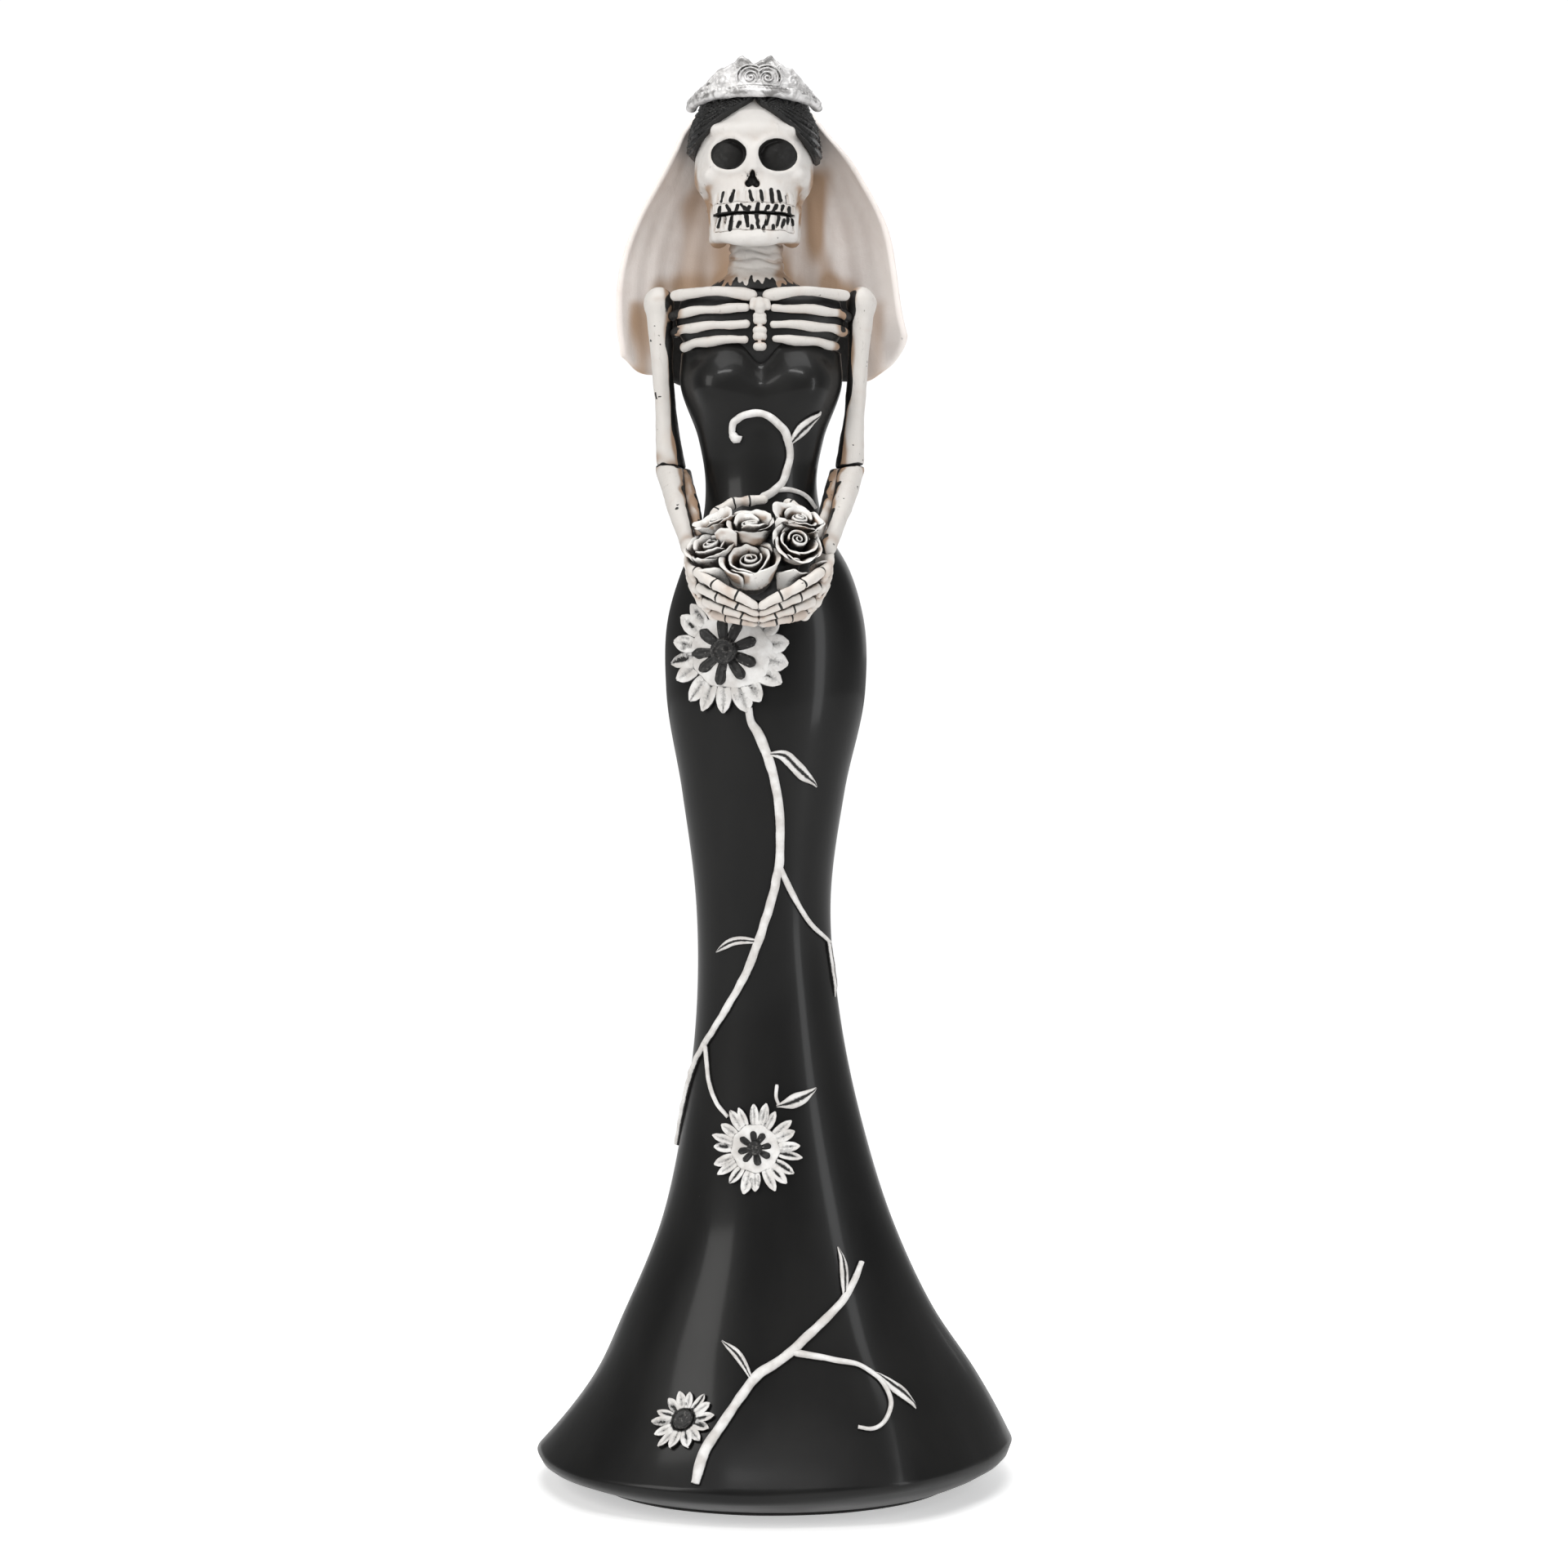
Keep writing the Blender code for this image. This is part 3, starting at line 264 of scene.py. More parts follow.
class Block:
    """A block of distances, negative inside the solid, that is carved and then skinned."""

    def __init__(self, low, high, step):
        self.low, self.step = np.asarray(low, float), step
        counts = np.ceil((np.asarray(high, float) - self.low) / step).astype(int) + 1
        axes = [self.low[k] + step * np.arange(counts[k]) for k in range(3)]
        self.at = np.stack(np.meshgrid(*axes, indexing="ij"), -1).astype(np.float32)
        self.field = np.full(counts, FAR, np.float32)

    def add(self, distance, blend=0.0):
        """Joins a form, with a fillet of about blend millimetres."""
        if blend > 0:
            h = np.clip(0.5 + 0.5 * (self.field - distance) / blend, 0, 1)
            self.field = self.field * (1 - h) + distance * h - blend * h * (1 - h)
        else:
            self.field = np.minimum(self.field, distance)

    def cut(self, distance, blend=0.0):
        """Removes a form, with an edge rounded by about blend millimetres."""
        if blend > 0:
            h = np.clip(0.5 - 0.5 * (self.field + distance) / blend, 0, 1)
            self.field = self.field * (1 - h) - distance * h + blend * h * (1 - h)
        else:
            self.field = np.maximum(self.field, -distance)

    def ball(self, centre, size):
        """Distance to an ellipsoid."""
        off = (self.at - np.asarray(centre, np.float32)) / np.asarray(size, np.float32)
        k = np.linalg.norm(off, axis=-1)
        g = np.linalg.norm(off / np.asarray(size, np.float32), axis=-1)
        return k * (k - 1) / np.maximum(g, 1e-6)

    def rod(self, a, b, radius_a, radius_b):
        """Distance to a round rod that tapers from one radius to the other."""
        a, b = np.asarray(a, np.float32), np.asarray(b, np.float32)
        along = b - a
        t = np.clip((self.at - a) @ along / float(along @ along), 0, 1)
        gap = self.at - (a + t[..., None] * along)
        return np.linalg.norm(gap, axis=-1) - (radius_a + (radius_b - radius_a) * t)

    def chain(self, points, radii):
        """Distance to rods joined end to end."""
        total = self.rod(points[0], points[1], radii[0], radii[1])
        for a, b, radius_a, radius_b in zip(points[1:], points[2:], radii[1:], radii[2:]):
            total = np.minimum(total, self.rod(a, b, radius_a, radius_b))
        return total

    def roughen(self, amount, scale, seed):
        """Makes the surface uneven by about amount, in waves of about scale."""
        near = np.abs(self.field) < 3 * self.step + amount
        self.field[near] += amount * noise_at(self.at[near], scale, seed)

    def sample(self, points):
        """The distance at any points, between those of the block."""
        spot = (points - self.low) / self.step
        spot = np.clip(spot, 0, np.array(self.field.shape) - 1.001)
        base = spot.astype(int)
        part = spot - base
        total = 0.0
        for corner in range(8):
            step = np.array([corner & 1, corner >> 1 & 1, corner >> 2])
            weight = np.prod(np.where(step, part, 1 - part), axis=-1)
            i = base + step
            total = total + weight * self.field[i[:, 0], i[:, 1], i[:, 2]]
        return total

    def outermost(self, start, direction, far):
        """How far from start the solid's surface lies in a direction, looking no further than far."""
        reach = np.arange(0.3 * far, far, 0.05)
        inside = self.sample(np.asarray(start) + reach[:, None] * np.asarray(direction)) < 0
        return reach[inside][-1] if inside.any() else 0.3 * far

    def skin(self):
        """Points and quads of the solid's surface."""
        dims, inside = np.array(self.field.shape), self.field < 0
        corners, places = [], []
        for axis in range(3):
            here = tuple(slice(0, -1) if k == axis else slice(None) for k in range(3))
            there = tuple(slice(1, None) if k == axis else slice(None) for k in range(3))
            at = np.argwhere(inside[here] != inside[there])
            u, v = (axis + 1) % 3, (axis + 2) % 3
            at = at[(at[:, u] > 0) & (at[:, v] > 0) & (at[:, u] < dims[u] - 1) & (at[:, v] < dims[v] - 1)]
            far = at.copy()
            far[:, axis] += 1
            near_value, far_value = self.field[tuple(at.T)], self.field[tuple(far.T)]
            place = at.astype(float)
            place[:, axis] += near_value / (near_value - far_value)
            around = []
            for du, dv in ((0, 0), (-1, 0), (-1, -1), (0, -1)):
                cell = at.copy()
                cell[:, u] += du
                cell[:, v] += dv
                around.append(np.ravel_multi_index(cell.T, dims))
            around = np.stack(around, 1)
            outward = near_value > 0
            around[outward] = around[outward][:, ::-1]
            corners.append(around)
            places.append(np.repeat(place[:, None], 4, axis=1))
        corners, places = np.concatenate(corners), np.concatenate(places)
        inverse = np.unique(corners.ravel(), return_inverse=True)[1]
        counts = np.bincount(inverse)
        points = np.stack([np.bincount(inverse, places[..., k].ravel()) / counts for k in range(3)], -1)
        return self.low + points * self.step, inverse.reshape(-1, 4)

    def normals(self, points):
        """Directions out of the solid at points on its surface."""
        d = self.step * 0.7
        steps = [self.sample(points + d * e) - self.sample(points - d * e) for e in np.eye(3)]
        return unit(np.stack(steps, -1))

    def piece(self, name, material, nodes, fine=0.35, broad=1.3, place=None, ink_and_shade=None, wash_and_shade=None):
        """The solid as an object; its hollows are marked, and so is where the two painters put black and
        brown, which is partly painted shade.
        """
        points, faces = self.skin()
        normals = self.normals(points)
        marks = {
            "crease": np.clip(1 - self.sample(points + normals * fine) / fine, 0, 1),
            "hollow": np.clip(1 - self.sample(points + normals * broad) / broad, 0, 1),
            "edge": np.clip(1 + self.sample(points - normals * fine) / fine, 0, 1),
        }
        for key, painter in (("ink_and_shade", ink_and_shade), ("wash_and_shade", wash_and_shade)):
            if painter is not None:
                marks[key] = painter(points)
        if place is not None:
            points, faces = place(points), faces[:, ::-1]
        return new_object(name, points, faces, material, nodes, marks)


# ---------------------------------------------------------------- materials


OCCLUSION_SAMPLES = 8


class Paint:
    """Builds one node material around its Principled shader."""

    def __init__(self, name, roughness=0.5, specular=0.5, coat=0.0, coat_roughness=0.3, metallic=0.0):
        self.material = bpy.data.materials.new(name)
        self.material.use_nodes = True
        self.tree = self.material.node_tree
        self.shader = self.tree.nodes["Principled BSDF"]
        values = {"Roughness": roughness, "Specular IOR Level": specular, "Coat Weight": coat,
                  "Coat Roughness": coat_roughness, "Metallic": metallic}
        for socket, value in values.items():
            self.shader.inputs[socket].default_value = value
        self.spot = self.tree.nodes.new("ShaderNodeTexCoord").outputs["Object"]

    def set(self, socket, value):
        """Links or sets a socket, whatever value is."""
        if isinstance(value, bpy.types.NodeSocket):
            self.tree.links.new(value, socket)
        elif isinstance(value, tuple):
            socket.default_value = (*value, 1.0)[:len(socket.default_value)]
        else:
            socket.default_value = value

    def mark(self, name):
        """A per-point value that the mesh carries, such as its creases."""
        node = self.tree.nodes.new("ShaderNodeAttribute")
        node.attribute_name = name
        return node.outputs["Fac"]

    def noise(self, size, detail=4.0, rough=0.55, stretch=(1, 1, 1), warp=0.0, shift=0.0):
        """Noise from 0 to 1 whose features are about size millimetres, longer along small stretches."""
        place = self.tree.nodes.new("ShaderNodeMapping")
        place.inputs["Scale"].default_value = [s / (size * METRES) for s in stretch]
        place.inputs["Location"].default_value = (shift, shift * 0.7, shift * 1.3)
        self.tree.links.new(self.spot, place.inputs["Vector"])
        node = self.tree.nodes.new("ShaderNodeTexNoise")
        for socket, value in (("Scale", 1.0), ("Detail", detail), ("Roughness", rough), ("Distortion", warp)):
            node.inputs[socket].default_value = value
        self.tree.links.new(place.outputs["Vector"], node.inputs["Vector"])
        return node.outputs["Fac"]

    def math(self, how, a, b):
        node = self.tree.nodes.new("ShaderNodeMath")
        node.operation = how
        self.set(node.inputs[0], a)
        self.set(node.inputs[1], b)
        return node.outputs["Value"]

    def add(self, a, b):
        return self.math("ADD", a, b)

    def times(self, a, b):
        return self.math("MULTIPLY", a, b)

    def swing(self, noise, amount):
        """Noise moved to lie around 0, times amount."""
        return self.times(self.math("SUBTRACT", noise, 0.5), amount)

    def step(self, value, low, high, out_low=0.0, out_high=1.0):
        """Smooth change from one value to another as a socket goes from low to high."""
        node = self.tree.nodes.new("ShaderNodeMapRange")
        node.interpolation_type = "SMOOTHSTEP"
        limits = {"From Min": low, "From Max": high, "To Min": out_low, "To Max": out_high}
        for socket, limit in limits.items():
            node.inputs[socket].default_value = limit
        self.set(node.inputs["Value"], value)
        return node.outputs["Result"]

    def mix(self, share, a, b):
        """From colour a to colour b as share goes from 0 to 1."""
        node = self.tree.nodes.new("ShaderNodeMix")
        node.data_type = "RGBA"
        self.set(node.inputs["Factor"], share)
        self.set(node.inputs["A"], a)
        self.set(node.inputs["B"], b)
        return node.outputs["Result"]

    def occlusion(self, distance):
        """1 in the open, 0 in a corner, including the corners between pieces."""
        node = self.tree.nodes.new("ShaderNodeAmbientOcclusion")
        node.samples = OCCLUSION_SAMPLES
        node.inputs["Distance"].default_value = distance * METRES
        return node.outputs["AO"]

    def bump(self, height, distance, strength):
        node = self.tree.nodes.new("ShaderNodeBump")
        node.inputs["Strength"].default_value = strength
        node.inputs["Distance"].default_value = distance * METRES
        self.tree.links.new(height, node.inputs["Height"])
        self.tree.links.new(node.outputs["Normal"], self.shader.inputs["Normal"])

    def finish(self, colour, roughness=None):
        self.tree.links.new(colour, self.shader.inputs["Base Color"])
        if roughness is not None:
            self.tree.links.new(roughness, self.shader.inputs["Roughness"])
        return self.material


NEAR_BLACK = (0.006, 0.0055, 0.005)


def bone_paint(name, light, warm, wash_and_shade, crease_black_at=0.5, wash_and_shade_at=0.62, streaks=0.5, corner=2.5, shade_black_at=0.9,
               specks=0.0, specular=0.45):
    """White paint with a warm tint in the hollows, brown in the corners that is partly wash and partly
    painted shade, black in the creases and deepest corners that is partly painted shade, and a painted
    highlight on raised edges.
    """
    p = Paint(name, specular=specular)
    fine = p.noise(0.8, 5, 0.65, warp=0.4)
    patch = p.noise(5.0, 3, 0.5, warp=0.6)
    grain = p.noise(2.2, 4, 0.6, stretch=(2.2, 2.2, 0.5))
    crease, hollow = p.mark("crease"), p.mark("hollow")
    shade = p.math("SUBTRACT", 1.0, p.occlusion(corner))
    tinted = p.add(p.times(hollow, 0.7), p.times(patch, 0.75))
    colour = p.mix(p.step(tinted, 0.35, 0.95), light, warm)
    colour = p.mix(p.step(grain, 0.62, 0.78, 0.0, streaks), colour, tuple(0.45 * v for v in warm))
    # painted shade: brown where ambient occlusion finds a corner, also between pieces, mixed with the hollows
    # and random patches of brown wash
    shade_and_stain = p.add(p.add(p.times(shade, 0.75), p.times(hollow, 0.3)), p.swing(patch, 1.1))
    colour = p.mix(p.step(shade_and_stain, wash_and_shade_at - 0.2, wash_and_shade_at + 0.25, 0.0, 0.85), colour, wash_and_shade)
    # brown from each piece's own marks: brown wash that in places is painted shade
    colour = p.mix(p.step(p.mark("wash_and_shade"), 0.15, 1.0, 0.0, 0.85), colour, wash_and_shade)
    # black ink in the fine creases; its grey fringe also stands for painted shade
    crease_ink_and_shade = p.add(p.times(crease, 1.15), p.swing(fine, 0.9))
    colour = p.mix(p.step(crease_ink_and_shade, crease_black_at - 0.07, crease_black_at + 0.12, 0.0, 0.96), colour, NEAR_BLACK)
    # painted highlight: raised edges lightened towards near white
    edge = p.times(p.step(p.mark("edge"), 0.35, 0.9), p.step(fine, 0.35, 0.6))
    colour = p.mix(p.times(edge, 0.5), colour, (0.78, 0.765, 0.745))
    # painted shade: black where ambient occlusion finds a deep corner, also between pieces
    colour = p.mix(p.step(p.add(shade, p.times(fine, 0.3)), shade_black_at, shade_black_at + 0.2, 0.0, 0.95), colour, NEAR_BLACK)
    if specks:
        dots = p.times(p.step(p.noise(1.1, 1, 0.4, shift=5.0), 0.74, 0.78),
                       p.step(p.noise(6.0, 2, 0.5, shift=2.0), 0.5, 0.62))
        colour = p.mix(p.times(dots, specks), colour, (0.03, 0.026, 0.022))
    painted = p.add(p.mark("ink_and_shade"), p.swing(fine, 0.25))
    colour = p.mix(p.step(painted, 0.42, 0.58), colour, NEAR_BLACK)
    p.bump(p.add(fine, grain), 0.12, 0.5)
    return p.finish(colour, p.step(fine, 0.3, 0.7, 0.42, 0.62))


def gown_paint():
    p = Paint("gown_satin", roughness=0.36, specular=0.16, coat=0.16, coat_roughness=0.12)
    slow = p.noise(26, 3, 0.5, stretch=(1.4, 1.4, 0.6))
    brushed = p.noise(1.6, 4, 0.6, stretch=(1, 1, 0.12))
    dust = p.noise(0.7, 2, 0.5, shift=3.0)
    rare = p.noise(9.0, 2, 0.5, shift=1.0)
    colour = p.mix(p.step(slow, 0.3, 0.7), (0.0050, 0.0050, 0.0050), (0.0085, 0.0083, 0.0080))
    fleck = p.times(p.step(dust, 0.80, 0.84), p.step(rare, 0.55, 0.7))
    colour = p.mix(p.times(fleck, 0.35), colour, (0.16, 0.15, 0.14))
    p.bump(p.add(p.times(brushed, 0.5), p.noise(7.0, 2, 0.5)), 0.10, 0.35)
    return p.finish(colour, p.step(slow, 0.25, 0.75, 0.33, 0.45))


def white_paint():
    """The raised flowers and stems: brushed white over black, thin in the grooves."""
    p = Paint("white_brushed", specular=0.4)
    fine = p.noise(0.7, 5, 0.7, warp=0.5)
    patch = p.noise(3.5, 3, 0.55)
    crease, hollow = p.mark("crease"), p.mark("hollow")
    worn = p.add(p.add(crease, p.times(hollow, 0.35)), p.swing(fine, 1.1))
    colour = p.mix(p.step(patch, 0.3, 0.7), (0.80, 0.79, 0.775), (0.58, 0.555, 0.53))
    colour = p.mix(p.step(worn, 0.08, 0.5, 0.0, 0.75), colour, (0.24, 0.235, 0.23))
    colour = p.mix(p.step(worn, 0.46, 0.64), colour, NEAR_BLACK)
    p.bump(fine, 0.12, 0.5)
    return p.finish(colour, p.step(fine, 0.3, 0.7, 0.45, 0.65))


def black_paint(name, dust_and_highlight=0.25, roughness=0.45):
    """Black with light brushed over its raised edges, which also serves as a painted highlight."""
    p = Paint(name, roughness=roughness, specular=0.35)
    fine = p.noise(0.6, 4, 0.65, warp=0.4)
    # light on raised edges: brushed-on paint and a painted highlight
    wear_and_highlight = p.add(p.mark("edge"), p.swing(fine, 1.4))
    colour = p.mix(p.step(p.noise(4.0), 0.3, 0.7), (0.0065, 0.0065, 0.0065), (0.012, 0.0115, 0.011))
    colour = p.mix(p.step(wear_and_highlight, 0.75, 1.05, 0.0, dust_and_highlight), colour, (0.42, 0.40, 0.38))
    p.bump(fine, 0.10, 0.4)
    return p.finish(colour, p.step(fine, 0.3, 0.7, roughness - 0.08, roughness + 0.1))


def silver_paint():
    """Worn silver: grey in the hollows, bright on the raised work."""
    p = Paint("silver_worn", specular=0.55, metallic=0.25, coat=0.1)
    fine = p.noise(0.7, 5, 0.7, warp=0.5)
    patch = p.noise(3.0, 4, 0.6, warp=0.8)
    dark = p.add(p.add(p.mark("crease"), p.times(p.mark("hollow"), 0.4)), p.swing(patch, 1.3))
    dark = p.add(dark, p.times(p.mark("ink_and_shade"), 0.45))
    colour = p.mix(p.step(patch, 0.35, 0.65), (0.74, 0.73, 0.725), (0.46, 0.45, 0.445))
    colour = p.mix(p.step(dark, 0.14, 0.42, 0.0, 0.8), colour, (0.13, 0.125, 0.12))
    colour = p.mix(p.step(dark, 0.5, 0.75), colour, NEAR_BLACK)
    bright = p.times(p.step(p.mark("edge"), 0.3, 0.8), p.step(fine, 0.3, 0.55))
    colour = p.mix(p.times(bright, 0.7), colour, (0.93, 0.93, 0.93))
    p.bump(fine, 0.15, 0.5)
    return p.finish(colour, p.step(fine, 0.3, 0.7, 0.28, 0.5))


def felt_paint():
    p = Paint("felt_black", roughness=0.95, specular=0.1)
    p.shader.inputs["Sheen Weight"].default_value = 0.4
    fuzz = p.noise(0.35, 5, 0.7)
    colour = p.mix(fuzz, (0.008, 0.008, 0.008), (0.035, 0.034, 0.033))
    p.bump(fuzz, 0.25, 0.8)
    return p.finish(colour)


BONE = bone_paint("bone_paint", (0.62, 0.592, 0.56), (0.53, 0.45, 0.395), (0.27, 0.145, 0.065), specks=0.85)
SKULL = bone_paint("skull_paint", (0.64, 0.617, 0.592), (0.54, 0.485, 0.44), (0.30, 0.165, 0.075),
                   wash_and_shade_at=0.67, streaks=0.3, specks=0.6, specular=0.25)
ROSE = bone_paint("rose_paint", (0.84, 0.82, 0.79), (0.66, 0.55, 0.46), (0.33, 0.19, 0.10), crease_black_at=0.57,
                  wash_and_shade_at=0.36, corner=3.0, shade_black_at=0.42, specks=0.7)
VEIL = bone_paint("veil_paint", (0.90, 0.84, 0.80), (0.80, 0.72, 0.675), (0.42, 0.25, 0.13), crease_black_at=0.85,
                  wash_and_shade_at=0.95, streaks=0.1, corner=4.0)
HAND = bone_paint("hand_paint", (0.70, 0.665, 0.625), (0.58, 0.45, 0.36), (0.33, 0.185, 0.10), crease_black_at=0.40,
                  wash_and_shade_at=0.42, streaks=0.6, corner=1.8, shade_black_at=0.50, specks=0.8)
WHITE = white_paint()
SATIN = gown_paint()
BLACK = black_paint("ink_paint")
HAIR = black_paint("hair_paint", dust_and_highlight=0.5, roughness=0.4)
SILVER = silver_paint()
FELT = felt_paint()


# ---------------------------------------------------------------- gown


def neckline(turn):
    """Height of the sweetheart neckline: a dip between the two rounded cups."""
    side = np.abs(turn)
    return NECKLINE_HEIGHT - 4.0 * np.exp(-((side / 13) ** 2)) + 2.3 * np.exp(-(((side - 31) / 22) ** 2))


def make_gown():
    """The gown as one smooth cast surface, from the pocket at the chest to its underside."""
    columns = 288
    turns = np.arange(columns) * 360 / columns - 180
    heights = np.concatenate([np.linspace(HEM_HEIGHT, 70, 70), np.linspace(71, 200, 90),
                              np.linspace(201, NECKLINE_HEIGHT, 60)])
    raised = ease(218, NECKLINE_HEIGHT, heights)
    rows = []
    for height, share in zip(heights[::-1], raised[::-1]):
        roll = -2.2 * ease(233.5, NECKLINE_HEIGHT, height) ** 2 * np.exp(-((np.abs(turns) / 75) ** 4))
        rows.append(gown_point(turns, height + (neckline(turns) - NECKLINE_HEIGHT) * share, roll))
    rows = np.array(rows)
    # a worn, slightly uneven hem edge, and a lip that rolls over at the neckline
    hem = rows[-HEM_ROWS:]
    ripple = 0.22 * noise_at(hem * (1, 1, 0.2), 9.0)[..., None]
    ripple = ripple * ease(0, HEM_ROWS - 1, np.arange(HEM_ROWS))[:, None, None]
    rows[-HEM_ROWS:] += ripple * unit(hem * (1, 1, 0))
    centre = rows[0].mean(0)
    inward = unit((rows[0] - centre) * (1, 1, 0))
    lip = [rows[0] - inward * depth + (0, 0, rise) for depth, rise in LIP_PROFILE]
    floor = (rows[0] - inward * 1.6) * (1, 1, 0) + (0, 0, POCKET_FLOOR)
    a = np.radians(turns)
    under = []
    for height, half_width, depth in UNDERSIDE_PROFILE:
        tilt = HEM_TILT * np.sin(a) * ease(1.3, 8.0, height)
        under.append(np.stack([half_width * np.sin(a), -depth * np.cos(a), height + tilt], -1))
    points, faces = tube_mesh([floor, *lip[::-1], *rows, *under])
    new_object("gown_satin_body", points, faces[:, ::-1], SATIN, ["gown"])


def make_felt():
    """The oval felt pad under the gown."""
    sides = 160
    a = np.arange(sides) * 2 * np.pi / sides
    rings = []
    for height, inset in ((0.0, 0.5), (0.15, 0.1), (0.5, 0.0), (0.85, 0.1), (1.0, 0.5)):
        wobble = 0.25 * noise_at(np.stack([20 * np.cos(a), 20 * np.sin(a), 0 * a], -1), 6.0, 5)
        rings.append(np.stack([(38.5 - inset + wobble) * np.sin(a), -(28 - inset + wobble) * np.cos(a),
                               0 * a + height], -1))
    points, faces = tube_mesh(rings)
    new_object("felt_underside", points, faces[:, ::-1], FELT, ["felt_pad"])


# ---------------------------------------------------------------- relief on the gown

WAIST_VINE = ((-1, 210), (14.5, 212), (25.5, 215.5), (29, 219), (24, 223), (14, 226), (1.5, 228), (-8, 228),
              (-18.5, 227), (-24, 225.5), (-25.5, 224), (-22.5, 223))
WAIST_LEAF = ((26.5, 221.5), (38.5, 225.5), (51, 229))
WAIST_CURL = ((13, 212), (32.5, 212), (52, 210.5), (61.5, 208.5))
THIGH_VINE = ((-9, 165.6), (-8, 163), (-4, 160.5), (2.5, 155.5), (6.5, 151.5), (10.5, 146.5), (13, 140),
              (13, 133), (10, 128.5), (3, 122), (-5.5, 116), (-15.5, 110), (-30, 103.5), (-44.5, 98),
              (-57.5, 93.5), (-69, 89.5), (-80, 83.5), (-89, 76.5), (-96, 71.5))
THIGH_LEAF = ((2.5, 156), (13.5, 155.5), (22, 153), (39.5, 149))
KNEE_BRANCH = ((13, 132.5), (25.5, 126), (39, 121), (71, 115.5))
SIDE_LEAF = ((67, 116.5), (73, 109.5), (72.5, 104))
SHIN_LEAF = ((-3, 116.5), (-24, 116.5), (-44.5, 114))
FLOWER_STEM = ((-55, 94.5), (-47, 86.5), (-39, 82.5), (-29, 79.5))
BUD_STEM = ((4.5, 86.5), (3.5, 84), (5.5, 82))
BUD_LEAF = ((3.5, 82), (11, 82.5), (20, 83.5), (33, 85.5))
HEM_VINE = ((-19, 9.5), (-19.5, 15), (-17.5, 19), (-15, 22.5), (-10.5, 27), (2, 32.5), (14.5, 38),
            (25.5, 42.5), (33.5, 46.5), (39, 49.5))
HEM_TOP_LEAF = ((26.5, 43), (29.5, 49.5), (29, 53))
HEM_TWIG = ((-9.5, 27.5), (-14, 32), (-20.5, 35))
HEM_BRANCH = ((4, 33), (17, 31.5), (26.5, 29.5), (30.5, 26.5), (31, 23.5), (28, 20), (23.5, 18.5), (20, 19))
HEM_LEAF = ((29.5, 28.5), (36, 24), (39, 21))


PLAIN, VEINED = 0.0, 0.35  # depth of the groove down the middle of a stem or leaf
LEAF_STALK, LEAF_TIP = 0.32, 0.12  # half widths
EDGE_RAGGEDNESS = 0.16


def strip(points, half_widths, rise, groove, seed):
    """A raised stem or leaf along a route on the gown, with its marks for the paint."""
    rough_length = sum(math.dist(gown_point(*a), gown_point(*b)) for a, b in zip(points, points[1:]))
    count = max(10, int(rough_length * 3.2))
    line = route(points, count)
    places = gown_point(line[:, 0], line[:, 1])
    ahead = unit(np.gradient(places, axis=0))
    east, up, out = gown_frame(line[:, 0], line[:, 1])
    side = unit(np.cross(out, ahead))
    t = np.linspace(0, 1, count)
    width = half_widths(t)
    across = np.array([-1.0, -0.98, -0.86, -0.66, -0.42, -0.2, 0, 0.2, 0.42, 0.66, 0.86, 0.98, 1.0])
    wobble = 1 + EDGE_RAGGEDNESS * np.stack([noise_at(places, 2.2, seed), noise_at(places, 2.6, seed + 9)],
                                            -1)
    edge_left, edge_right = width * wobble[:, 0], width * wobble[:, 1]
    reach = np.where(across[None] < 0, edge_left[:, None], edge_right[:, None]) * across[None]
    crown = np.sqrt(np.clip(1 - across**2, 0, 1)) ** 0.8
    lift = rise * np.minimum(1, width / 0.5)[:, None] * crown[None] + 0.02
    lift = lift * (1 + 0.14 * noise_at(places, 1.6, seed + 3))[:, None]
    dent = groove * np.exp(-((across / 0.22) ** 2))[None] * np.sin(np.pi * np.clip(t * 1.1, 0, 1))[:, None]
    lift = lift - dent
    lift[:, (0, -1)] = RELIEF_ROOT
    right = reach * np.sum(side * east, -1)[:, None]
    rise_up = reach * np.sum(side * up, -1)[:, None]
    top = gown_offset(line[:, 0:1], line[:, 1:2], right, rise_up, lift)
    surface, faces = tube_mesh(top)
    grooved = np.broadcast_to(np.exp(-((across / 0.25) ** 2))[None] * (groove > 0), reach.shape)
    border = np.broadcast_to((np.abs(across) > 0.9)[None] * 0.9, reach.shape)
    marks = np.pad(np.maximum(grooved, border), ((1, 1), (0, 0)))
    return surface, faces[:, ::-1], marks.ravel()


def stem(start, end):
    """The half width of a stem along its length."""
    return lambda t: (start + (end - start) * t) * (0.75 + 0.25 * ease(0, 0.04, t))


def leaf(half_width):
    """The half width of a leaf along its length."""
    belly = half_width - LEAF_STALK * 0.5

    def width(t):
        return LEAF_STALK * (1 - t) + LEAF_TIP * t + belly * np.sin(np.pi * np.clip(t * 0.98, 0, 1)) ** 1.2

    return width


def make_relief(name, node, parts, material, hollow, edge):
    """One raised piece of the gown, whose hollows and edges follow from its creases."""
    points, faces, crease = joined(parts)
    marks = {"crease": crease, "hollow": crease * hollow, "edge": edge * (1 - crease)}
    new_object(name, points, faces, material, [node], marks)


def make_strips(name, node, *strips):
    parts = [strip(*row, seed=i * 3 + len(name)) for i, row in enumerate(strips)]
    make_relief(name, node, parts, WHITE, 0.3, 0.5)


